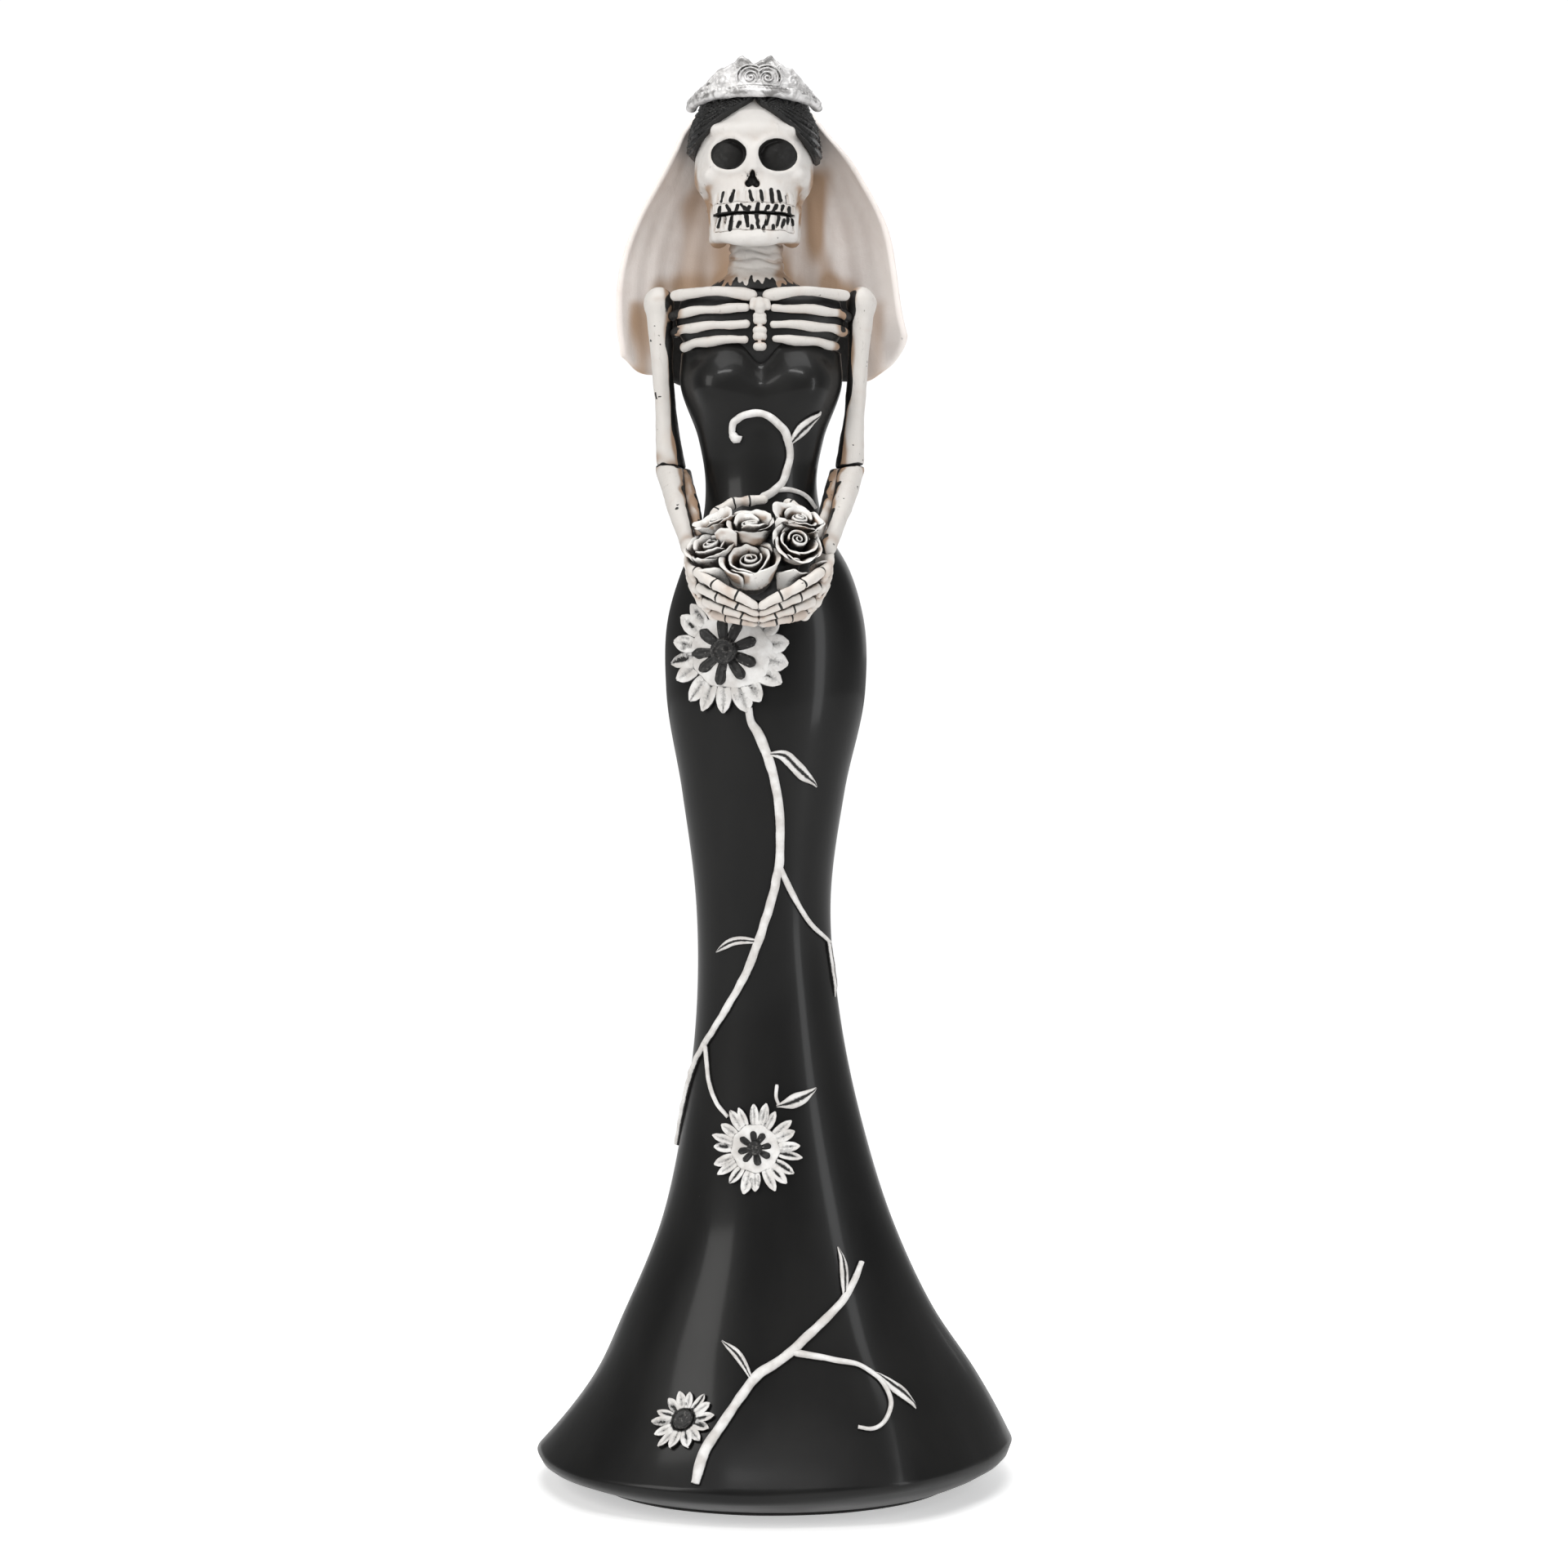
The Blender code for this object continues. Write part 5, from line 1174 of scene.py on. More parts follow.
def make_hair():
    """Two smooth halves of combed hair that meet at the parting."""
    for side, name, low_x, high_x in ((-1, "right_hair", -19.8, -3.9), (1, "left_hair", -4.7, 10.8)):
        b = Block((low_x, -14.0, 277.5), (high_x, 18.7, 304.0), HAIR_STEP)
        add_head_form(b)
        head, x, y, z = b.field, b.at[..., 0] - PART[0], b.at[..., 1], b.at[..., 2]
        front, rear = np.interp(x, *zip(*FRONT_HAIRLINE)), np.interp(y, *zip(*SIDE_HAIRLINE))
        behind = ease(0.0, 4.0, y)
        inside = (z - front * (1 - behind) - rear * behind) * 0.8
        spread = np.arctan2(z - PART[1], np.abs(x) + 1.0)
        strand = spread * 15.0 + 0.5 * np.sin(z * 0.5 + y * 0.4)
        second = spread * 34.0 + 0.7 * np.sin(z * 0.4 - y * 0.6)
        grooves = 0.26 * (np.cos(2 * np.pi * strand) - 0.6) - 0.09 * np.cos(2 * np.pi * second)
        thick = 1.7 * (1 - np.exp(-np.maximum(inside + 0.15, 0) / 0.45))
        b.field = (head - thick + grooves * ease(0.0, 1.0, inside)).astype(np.float32)
        b.cut((head + 1.0).astype(np.float32))
        b.cut(inside.astype(np.float32), 0.35)
        b.cut((x * side - 0.12).astype(np.float32), 0.5)
        b.roughen(0.07, 1.1, 5)
        b.piece(name + "_carving", HAIR, [name], fine=0.3)


TIARA_CENTRE, TIARA_RADIUS, TIARA_FOOT, TIARA_SPREAD = (HEAD_X, 2.2), 13.5, 296.9, 86.0
TIARA_LEAN, TIARA_STEP, TIARA_HEART_STEP = 0.36, 0.2, 0.16
# turn, height
CREST = ((-97, 0.4), (-72, 0.8), (-56, 1.4), (-45, 2.6), (-36, 4.4), (-26, 5.0), (-19, 5.6), (-12, 7.2),
         (-5, 6.4), (1, 5.1), (7, 6.2), (16, 7.3), (21, 6.4), (27, 5.3), (38, 4.7), (46, 3.6), (53, 2.4),
         (62, 1.4), (72, 0.8), (97, 0.4))
# along, up, radius, hand, rise
SCROLLS = ((-6.9, 1.9, 1.7, 1, 0.30), (9.2, 2.0, 1.7, -1, 0.30), (-10.6, 1.2, 1.1, -1, 0.22),
           (12.9, 1.2, 1.1, 1, 0.22), (-3.4, 4.4, 0.9, -1, 0.22), (5.9, 4.5, 0.9, 1, 0.22))


def tiara_places(b):
    """How far out of the tiara's wall each point is, with its turn and height above the band."""
    height = b.at[..., 2] - TIARA_FOOT
    x, y = b.at[..., 0] - TIARA_CENTRE[0], b.at[..., 1] - TIARA_CENTRE[1] - TIARA_LEAN * np.maximum(height, 0)
    return np.hypot(x, y) - TIARA_RADIUS, np.degrees(np.arctan2(x, -y)), height


def scroll(along, up, centre_along, centre_up, radius, hand):
    """1 along a spiral line, 0 between its turns."""
    u, v = (along - centre_along) * hand, up - centre_up
    reach, angle = np.hypot(u, v), np.arctan2(v, u)
    wave = np.cos(2 * np.pi * (reach / (radius * 0.62) - angle / (2 * np.pi)))
    return np.clip(wave, 0, 1) ** 0.7 * ease(radius, radius * 0.85, reach)


def make_tiara():
    """The crest with its scrolls, and the beaded band under it."""
    b = Block((-20.8, -14.4, 293.6), (11.8, 8.0, 304.8), TIARA_STEP)
    out, turn, height = tiara_places(b)
    along = np.radians(turn) * TIARA_RADIUS
    ends = (np.abs(turn) - TIARA_SPREAD) * 0.25

    top = np.interp(turn, *zip(*CREST)) + 0.12 * np.sin(along * 2.3) + 0.08 * np.sin(along * 5.1)
    relief = 0.25 * np.exp(-(((top - height - 0.5) / 0.4) ** 2))
    relief = relief - 0.18 * np.exp(-(((top - height - 1.2) / 0.3) ** 2))
    relief = relief + 0.22 * np.exp(-(((height - 0.95 - 0.18 * np.sin(along * 1.7)) / 0.28) ** 2))
    for centre_along, centre_up, radius, hand, rise in SCROLLS:
        relief = relief + rise * scroll(along, height, centre_along, centre_up, radius, hand)
    coarse = noise_at(b.at[::2, ::2, ::2], 1.6, 6).repeat(2, 0).repeat(2, 1).repeat(2, 2)
    relief = relief + 0.16 * coarse[:out.shape[0], :out.shape[1], :out.shape[2]]
    wall = np.maximum(out - relief, -out - 1.2)
    wall = np.maximum(np.maximum(wall, height - top), np.maximum(0.02 - height, ends))
    b.add(wall.astype(np.float32))
    b.roughen(0.07, 0.8, 2)

    def ink_and_shade(points):
        turn = np.degrees(np.arctan2(points[:, 0] - TIARA_CENTRE[0], TIARA_CENTRE[1] - points[:, 1]))
        return ease(34, 10, np.abs(turn - 3)) * ease(TIARA_FOOT + 2.5, TIARA_FOOT + 5.0, points[:, 2])

    b.piece("tiara_crest_relief", SILVER, ["tiara_crest"], fine=0.3, broad=0.9, ink_and_shade=ink_and_shade)

    b.field = np.full(b.field.shape, FAR, np.float32)
    bead = np.sqrt(((along + 0.45) % 0.9 - 0.45) ** 2 + (height + 0.42) ** 2 + (out - 0.75) ** 2) - 0.42
    roll = np.hypot((out - 0.15) / 1.15, (height + 1.35) / 0.95) - 1
    ledge = np.maximum(np.abs(out) - 0.95, np.abs(height + 0.55) - 0.52)
    b.add(np.maximum(roll * 0.95, ends).astype(np.float32))
    b.add(np.maximum(ledge, ends).astype(np.float32), 0.25)
    b.add(np.maximum(bead, ends).astype(np.float32), 0.08)
    b.roughen(0.12, 2.4, 8)
    b.roughen(0.06, 0.8, 3)
    b.piece("tiara_band_relief", SILVER, ["tiara_band"], fine=0.3, broad=0.9)


def make_tiara_heart():
    """Two facing scrolls under a double arch, standing on the front of the crest."""
    b = Block((-10.0, -15.2, 295.8), (3.2, -8.0, 303.0), TIARA_HEART_STEP)
    out, turn, height = tiara_places(b)
    along = np.radians(turn) * TIARA_RADIUS - 1.1
    rise = np.zeros(out.shape)
    for side in (-1, 1):
        rise = np.maximum(rise, scroll(along, height, side * 1.75, 1.9, 1.65, side))
        reach = np.hypot(along - side * 1.75, height - 1.9)
        for radius in (2.15, 2.85):
            arch = np.exp(-(((reach - radius) / 0.24) ** 2)) * ease(-0.6, 0.4, height - 1.9 + 0.8)
            rise = np.maximum(rise, arch * ease(-0.5, 0.3, along * side))
    rise = rise * 0.75 + 0.15
    apart = np.minimum(np.hypot(along - 1.75, height - 1.9), np.hypot(along + 1.75, height - 1.9)) - 3.15
    wall = np.maximum(out - 0.25 - rise, -out - 0.3)
    b.add(np.maximum(wall, np.maximum(apart, 0.15 - height)).astype(np.float32))
    b.roughen(0.06, 0.7, 4)
    b.piece("tiara_heart_relief", SILVER, ["tiara_heart"], fine=0.25, broad=0.7)


VEIL_PROFILE = (  # height, half width to the figure's right and left, depth, half angle, centre y
    (301.4, 6, 6, 8, 66, 4.8),
    (297.5, 11.3, 11.3, 12.6, 68, 3.4),
    (292, 15.7, 15.8, 15.4, 72, 2.6),
    (287, 17.5, 19.6, 16.6, 76, 2.2),
    (281, 21.4, 24.3, 17, 72, 2.2),
    (272, 28.0, 30.9, 17.4, 66, 2.2),
    (262, 32.7, 34.5, 17.6, 62, 2.4),
    (252, 34.1, 37.1, 17.8, 60, 2.8),
    (243, 33.7, 40.6, 18, 58, 3.2),
)
VEIL_THICKNESS = 1.5


def veil_point(across, down, lift):
    """Points of the veil: across runs -1..1 from the figure's right to its left, down 0..1."""
    bottom = 238.5 + 5.0 * np.abs(across) ** 3 + 5.5 * np.maximum(across, 0) ** 8 + 0.5 * np.sin(across * 17)
    height = VEIL_PROFILE[0][0] + (bottom - VEIL_PROFILE[0][0]) * down
    rising = np.array([(-row[0], *row[1:]) for row in VEIL_PROFILE])
    right, left, depth, half_angle, centre_y = np.moveaxis(spline(rising, -height), -1, 0)
    angle = np.radians(across * half_angle)
    width = np.where(across < 0, right, left)
    fold = 0.55 * down * np.sin(across * 11 + 0.6) + 0.22 * down * np.sin(across * 23 + 1.4 * down)
    fold = fold + 0.10 * np.minimum(1, down * 2) * np.sin(across * 41 + 2.0 * np.sin(down * 3))
    x = HEAD_X + (width + lift + 0.35 * fold) * np.sin(angle)
    return np.stack([x, centre_y + (depth + fold + lift) * np.cos(angle), height], -1), fold


def make_veil():
    """The veil as one curved sheet with soft folds, open at the front."""
    rows, columns = 120, 220
    across = np.sin(np.linspace(-np.pi / 2, np.pi / 2, columns) * 0.9)[None] / math.sin(np.pi / 2 * 0.9)
    down = np.linspace(0, 1, rows)[:, None]
    across, down = np.broadcast_arrays(across, down)
    rim = np.minimum(np.minimum(1 - np.abs(across), 1 - down) * 28, down * 45)
    round_over = np.sqrt(np.clip(1 - (1 - np.clip(rim / 0.75, 0, 1)) ** 2, 0.02, 1))
    grids, marks = [], []
    for sign in (1, -1):
        lift = VEIL_THICKNESS / 2 + sign * VEIL_THICKNESS / 2 * round_over
        points, fold = veil_point(across, down, lift)
        outwards = unit(points * (1, 1, 0) - (HEAD_X, 3, 0))
        points = points + 0.16 * noise_at(points * (1, 1, 0.3), 3.0, 4)[..., None] * outwards
        grids.append(points)
        marks.append(np.clip(0.22 - 0.25 * sign * fold, 0, 1) * np.minimum(1, down * 3))
    points, faces = shell_mesh(grids[0], grids[1])
    hollow = np.concatenate([m.ravel() for m in marks])
    side, height = np.abs(points[:, 0] - HEAD_X), points[:, 2]
    ahead = np.concatenate([np.zeros(rows * columns), np.ones(rows * columns)])
    # painted shade on the veil's front face, in brown wash: beside the head, behind the shoulders and beside
    # the arms
    beside_head = ease(20.5, 14.5, side) * ease(257, 262, height) * ease(289, 283, height)
    over_shoulder = 0.9 * ease(27, 20, side) * ease(265, 259, height)
    by_arm = np.exp(-(((side - 26) / 3.0) ** 2)) * ease(259, 255, height)
    rim_tint = 0.2 * (1 - np.concatenate([round_over.ravel()] * 2)) * ease(262, 245, height)
    patchy = 0.72 + 0.75 * noise_at(points * (1, 1, 0.4), 4.0, 6)
    wash_and_shade = np.clip((beside_head + over_shoulder + 0.8 * by_arm) * ahead * patchy + rim_tint, 0, 1)
    scratch = ease(0.62, 0.75, noise_at(points * (1.4, 1.4, 0.5), 1.3, 9))
    scratch = scratch * ease(0.35, 0.6, noise_at(points, 7.0, 12))
    # painted shadow: black on the veil where it shows through the gap between each arm and the gown
    reach = np.abs(points[:, 0] - BODY_X) + 0.8 * noise_at(points * (1, 1, 0.5), 2.0, 14)
    gap = ease(22.0, 20.0, reach) * ease(12.0, 14.5, reach) * ease(260, 257.5, height) * ahead
    marks = {"crease": 0 * hollow, "hollow": hollow, "edge": 0.3 * (1 - hollow),
             "wash_and_shade": np.maximum(wash_and_shade, gap), "ink_and_shade": np.maximum(0.5 * scratch, gap)}
    new_object("veil_folds", points, faces, VEIL, ["veil"], marks)


# ---------------------------------------------------------------- chest

CHEST_Y = 1.0
CHEST_PROFILE = (  # height, half width, depth to the front, depth to the back
    (POCKET_FLOOR, 13.6, 7.0, 7.2),
    (243, 15.2, 7.8, 8.0),
    (246, 17.2, 7.9, 8.2),
    (252.5, 17.6, 7.6, 8.0),
    (254.4, 16.4, 6.6, 7.2),
    (256.2, 10.6, 6.0, 6.4),
)
BONE_STEP = 0.24
RIB_HEIGHTS, RIB_STARTS, RIB_ENDS, RIB_LIFT = (250.7, 247.3, 244.1), (9, 9, 11), (80, 80, 78), 1.0


def chest_point(turn, height, lift=0.0):
    """Points on the chest inside the neckline, turn degrees from the front towards +X."""
    half_width, front, back = np.moveaxis(spline(CHEST_PROFILE, height), -1, 0)
    angle = np.radians(turn)
    depth = np.where(np.cos(angle) > 0, front, back)
    return np.stack(np.broadcast_arrays(BODY_X + (half_width + lift) * np.sin(angle),
                                        CHEST_Y - (depth + lift) * np.cos(angle), height), -1)


def make_bone(node, points, radii, groups, seed, rough=0.10, wash_and_shade=None, ink_and_shade=None):
    """One carved bone: groups of rods along a route, each blended into the last."""
    points = np.asarray(points, float)
    reach = max(radii) + 1.5
    b = Block(points.min(0) - reach, points.max(0) + reach, BONE_STEP)
    b.add(b.chain(points, radii))
    for extra_points, extra_radii, blend in groups:
        b.add(b.chain(extra_points, extra_radii), blend)
    b.roughen(rough, 3.6, seed)
    b.roughen(rough * 0.4, 1.1, seed + 3)
    b.piece(node + "_carving", BONE, [node], wash_and_shade=wash_and_shade, ink_and_shade=ink_and_shade)


# brown, then black, towards the ribs' outer ends beside the arms
def rib_ends_brown(points):
    return ease(14.5, 18.0, np.abs(points[:, 0] - BODY_X) + 1.5 * noise_at(points, 2.5, 3))


def rib_ends_black(points):
    return ease(16.8, 18.8, np.abs(points[:, 0] - BODY_X) + 1.6 * noise_at(points, 1.4, 5))


def make_chest():
    """The black chest, with ribs, clavicles and breastbone laid on it."""
    heights = np.array([238.4, 238.6, *np.linspace(240, 254, 30), 254.8, 255.5, 255.9, 256.2])
    turns = np.linspace(0, 360, 121)[:-1]
    rings = chest_point(turns[None], heights[:, None])
    rings = rings + 0.1 * noise_at(rings, 2.0, 5)[..., None] * unit(rings * (1, 1, 0) - (BODY_X, CHEST_Y, 0))
    points, faces = tube_mesh(rings)
    marks = {"edge": np.zeros(len(points))}
    new_object("chest_core_form", points, faces, BLACK, ["chest_core"], marks)

    for side, word in ((-1, "right"), (1, "left")):
        for number, (height, start, end) in enumerate(zip(RIB_HEIGHTS, RIB_STARTS, RIB_ENDS)):
            turns = np.linspace(start, end, 14)
            level = height - 0.5 * (turns / end) ** 2 + 0.12 * np.sin(turns * 0.2 + number * 2 + side)
            line = chest_point(side * turns, level, RIB_LIFT)
            radii = 0.98 + 0.10 * np.sin(turns * 0.17 + number + side) - 0.14 * (turns < start + 6)
            make_bone(f"{word}_rib_{number + 1}", line, radii, (), number * 5 + side, wash_and_shade=rib_ends_brown,
                      ink_and_shade=rib_ends_black)
        inner = np.array([BODY_X + side * 1.7, CHEST_Y - 8.7, 253.4])
        outer = np.array([BODY_X + side * 18.2, CHEST_Y - 3.4, 254.4])
        line = route([inner, (inner + outer) / 2 + (-side * 2, -3.0, 0.35), outer], 12)
        radii = (1.25, 1.4, 1.25, 1.1, 1.02, 1.0, 1.0, 1.02, 1.08, 1.15, 1.25, 1.1)
        make_bone(f"{word}_clavicle", line, radii, (), 11 + side)

    knob = chest_point(np.zeros(3), np.array([251.7, 250.9, 250.0]), 1.5)
    lobes = [([knob[0] + (dx, 0.1, dz), knob[1] + (dx * 1.25, 0.2, 0)], (0.95, 0.8), 0.3)
             for dx, dz in ((-1.3, 0.2), (1.3, 0.1))]
    make_bone("manubrium", knob, (1.3, 1.45, 1.1), lobes, 21, rough=0.2)
    line = chest_point(np.zeros(7), np.array([248.9, 248.0, 246.5, 245.9, 244.6, 243.6, 242.5]), 1.2)
    blocks = [([line[i] + (-0.55, 0, 0), line[i] + (0.55, 0, 0)], (0.95, 0.95), 0.15)
              for i in (0, 1, 3, 4, 6)]
    make_bone("sternum", line, (0.8, 0.8, 0.45, 0.8, 0.8, 0.4, 0.6), blocks, 23, rough=0.12)


# ---------------------------------------------------------------- arms and hands

SHOULDER = np.array((-25.0, 1.2, 253.6))  # the figure's right arm; the left one is its mirror image
ELBOW = np.array((-22.0, 3.2, 217.6))
WRIST = np.array((-16.9, -20.6, 198.6))
BOWL_CENTRE, BOWL_RADIUS = np.array((-3.4, -22.0, 195.5)), 13.9  # the cupped hands follow a sphere
FINGERS = ((-66, -10, -2, -45), (-69, -23, -2, -53.5), (-75, -36.5, -3, -61.5), (-88, -50, -7, -70))
KNUCKLES = ((0.36, 0.69), (0.37, 0.67), (0.42, 0.72), (0.4, 0.7))  # shares of each finger's length
WRIST_SIDE = ((-97, 6), (-102, -1), (-108, -9), (-114, -19))  # where the palm's bones meet the wrist
THUMB = ((-13.6, -16.8, 203.9), (-12.4, -15.4, 206.2), (-9.6, -14.0, 208.2), (-6.6, -13.2, 209.0),
         (-2.4, -12.9, 209.4))
LEFT_THUMB_LENGTH = 0.55  # its tip is bent down among the flowers
LONG_BONE_STEP, HAND_STEP, FINGER_STEP = 0.3, 0.24, 0.18
ELBOW_SLANT = 0.12
BODY_SIDE = unit(np.array((1.0, 0.05, 0.0)))
# bone, start, end, radii, knobs (share, offset, radius), bow, stained bands (share, width, strength),
# cut at the elbow, black on the inner side (ink and painted shade)
LONG_BONES = (
    ("humerus", SHOULDER + (0, 0, 0.4), ELBOW + (-0.5, -0.2, 0.8),
     (2.75, 2.75, 2.6, 2.4, 2.3, 2.25, 2.25, 2.35, 2.6, 2.9, 3.1), ((0.03, (-0.3, 0, 0.3), 3.1),),
     (-0.3, 0, 0), ((1.0, 0.10, 0.75), (0.0, 0.03, 0.3), (0.6, 0.04, 0.25)), (ELBOW[2] + 1.0, 1), 0.95),
    ("radius", ELBOW + (-0.8, -0.6, 0.2), WRIST + (-0.6, -0.2, -0.2),
     (3.0, 2.95, 2.75, 2.5, 2.3, 2.1, 1.95, 1.85, 1.75, 1.7), ((1.0, (0.2, 0, 0.3), 1.8),),
     (-0.5, 0, 0.3), ((0.0, 0.08, 0.6), (0.95, 0.1, 0.45)), (ELBOW[2] + 0.6, -1), 0.75),
    ("ulna", ELBOW + (1.7, 0.9, 0.0), WRIST + (1.7, 3.2, 2.2), (2.0, 1.9, 1.75, 1.6, 1.5, 1.4, 1.3, 1.2), (),
     (0.0, 0.3, 0), ((0.0, 0.25, 1.0), (0.5, 0.3, 0.9), (1.0, 0.2, 0.9)), (ELBOW[2] + 0.5, -1), 0.8),
)


def mirrored(points):
    """From the figure's right arm to its left one."""
    return points * (-1, 1, 1) + (2 * BODY_X, 0, 0)


def bowl_point(azimuth, elevation, lift=0.0):
    """Points on the sphere that the cupped hands follow."""
    a, e = np.radians(azimuth), np.radians(elevation)
    direction = np.stack([np.cos(e) * np.sin(a), -np.cos(e) * np.cos(a), np.sin(e)], -1)
    return BOWL_CENTRE + (BOWL_RADIUS + np.asarray(lift)[..., None]) * direction


def long_bone(node, start, end, radii, knobs, bow, stains, socket, inner_ink_and_shade, seed, place):
    """A long bone with a bowed shaft, knobs at its ends, stained bands, and brown and black on the inner side
    that faces the body, partly painted shade.

    socket is (height, side): where the elbow cuts it off square, keeping what is above (1) or below (-1).
    """
    t = np.linspace(0, 1, len(radii))
    along = end - start
    line = start + along * t[:, None] + np.sin(np.pi * t)[:, None] * np.array(bow)
    b = Block(np.minimum(start, end) - 4.6, np.maximum(start, end) + 4.6, LONG_BONE_STEP)
    b.add(b.chain(line, radii))
    for share, offset, radius in knobs:
        b.add(b.ball(start + along * share + np.array(offset), (radius, radius, radius * 0.9)), 1.0)

    def past_elbow(x, z):
        """How far beyond the slanting cut of the elbow a point lies."""
        return socket[1] * (z - socket[0] + ELBOW_SLANT * (x - start[0]))

    b.cut(past_elbow(b.at[..., 0], b.at[..., 2]).astype(np.float32), 0.5)
    b.roughen(0.22, 7.0, seed)
    b.roughen(0.09, 1.7, seed + 1)

    def inner_side(points):
        """How far round towards the body a point of the shaft lies, from -1 to 1."""
        t = np.clip((points - start) @ along / (along @ along), 0, 1)
        return unit(points - start - t[:, None] * along) @ BODY_SIDE

    def wash_and_shade(points):
        t = (points - start) @ along / (along @ along)
        bands = sum((strength * np.exp(-(((t - level) / width) ** 2)) for level, width, strength in stains),
                    0 * t)
        # painted shade: brown on the side that faces the body; the bands are stains
        facing = inner_side(points) + 0.35 * noise_at(points * (1, 1, 0.35), 2.5, seed + 9)
        bands = bands * (0.8 + 0.8 * noise_at(points, 3.0, seed + 5))
        return np.clip(bands + 0.95 * ease(0.1, 0.6, facing), 0, 1)

    def ink_and_shade(points):
        # painted shade: black on the side that faces the body, besides the dark joint at the elbow and black
        # specks
        facing = inner_side(points) + 0.45 * noise_at(points * (1, 1, 0.3), 1.8, seed + 11)
        gap = past_elbow(points[:, 0], points[:, 2])
        rim = 1.0 - (gap + 0.5 * noise_at(points * (1, 1, 0.4), 1.3, seed + 2)) / 0.8
        dots = ease(0.62, 0.72, noise_at(points, 1.0, seed + 13))
        dots = dots * ease(0.1, 0.4, noise_at(points, 5.0, seed + 14))
        return np.clip(np.maximum(np.maximum(inner_ink_and_shade * ease(0.32, 0.66, facing), rim), 0.9 * dots), 0, 1)

    b.piece(node + "_carving", BONE, [node], place=place, wash_and_shade=wash_and_shade, ink_and_shade=ink_and_shade)


def make_finger(word, number, place):
    """A finger bent round the bowl, notched and inked at its two joints."""
    from_azimuth, from_elevation, to_azimuth, to_elevation = FINGERS[number]

    def finger_point(share):
        return bowl_point(from_azimuth + (to_azimuth - from_azimuth) * share,
                          from_elevation + (to_elevation - from_elevation) * share)

    share = np.linspace(0, 1, 25)
    line, knuckles = finger_point(share), KNUCKLES[number]
    b = Block(line.min(0) - 2.2, line.max(0) + 2.2, FINGER_STEP)
    near_joint = np.min(np.abs(share[:, None] - np.array(knuckles)), axis=1)
    radii = (1.12 - 0.22 * share) * (1 + 0.13 * np.exp(-((near_joint / 0.05) ** 2)))
    b.add(b.chain(line, radii * np.where((share == 0) | (share == 1), 0.8, 1)))
    joints = []
    for knuckle in knuckles:
        i, at = int(knuckle * 24), finger_point(knuckle)
        ahead = unit(line[min(24, i + 1)] - line[max(0, i - 1)])
        joints.append((at, ahead))
        away = b.at - at
        along = away @ ahead
        core = 1.0 - np.linalg.norm(away - along[..., None] * ahead, axis=-1)
        b.cut(np.maximum(np.abs(along) - 0.16, core).astype(np.float32), 0.15)
    b.roughen(0.14, 1.8, number * 7 + len(word))
    b.roughen(0.06, 0.7, number * 3 + 1)

    def ink_and_shade(points):
        amount = np.zeros(len(points))
        for at, ahead in joints:
            along = np.abs((points - at) @ ahead + 0.12 * noise_at(points, 1.0, number))
            near = np.linalg.norm(points - at, axis=1) < 2.0
            amount = np.maximum(amount, np.clip(1.1 - along / 0.36, 0, 1) * near)
        # painted shade: darker where the finger dips inside the bowl, towards the bouquet
        inside = BOWL_RADIUS - np.linalg.norm(points - BOWL_CENTRE, axis=1)
        root = ease(1.5, 0.9, np.linalg.norm(points - line[0], axis=1))
        return np.maximum(np.maximum(amount, 0.9 * root), ease(0.0, 0.7, inside) * 0.55)

    def wash_and_shade(points):
        return np.clip(0.45 + 0.8 * noise_at(points, 3.0, number + 20), 0, 1) * 0.55

    node = f"{word}_finger_{number + 1}"
    b.piece(node + "_carving", HAND, [node], fine=0.3, broad=0.8, place=place, ink_and_shade=ink_and_shade, wash_and_shade=wash_and_shade)


def make_palm(word, place):
    """The back of the hand: four long bones that fan from the wrist, joined by thin webs."""
    lines = []
    for (azimuth, elevation, _, _), (back_azimuth, back_elevation) in zip(FINGERS, WRIST_SIDE):
        t = np.linspace(0, 1, 7)
        lines.append(bowl_point(azimuth - 4.5 + (back_azimuth - azimuth + 4.5) * t, elevation
                                + (back_elevation - elevation) * t, 0.25 + 0.3 * np.sin(np.pi * t)))
    every = np.concatenate(lines)
    b = Block(np.minimum(every.min(0), WRIST) - 2.6, np.maximum(every.max(0), WRIST) + 2.6, HAND_STEP)
    for i, line in enumerate(lines):
        radii = 1.25 - 0.35 * np.sin(np.pi * np.linspace(0, 1, 7)) + 0.15 * (np.arange(7) == 0)
        b.add(b.chain(line, radii), 0.35)
        if i:
            middle = (line + lines[i - 1]) / 2
            b.add(b.chain(middle, np.full(7, 0.75)), 0.35)
    b.add(b.chain((lines[0][-1], WRIST + (0.2, 0.6, -0.6)), (1.4, 1.7)), 0.8)
    b.add(b.chain((lines[2][-1], WRIST + (0.6, 1.8, -1.2)), (1.3, 1.5)), 1.2)
    b.roughen(0.2, 2.2, 31)
    b.roughen(0.07, 0.8, 33)

    def wash_and_shade(points):
        return np.clip(0.3 + 0.7 * noise_at(points, 3.0, 41), 0, 1) * 0.6

    b.piece(f"{word}_palm_carving", HAND, [f"{word}_palm"], place=place, wash_and_shade=wash_and_shade)


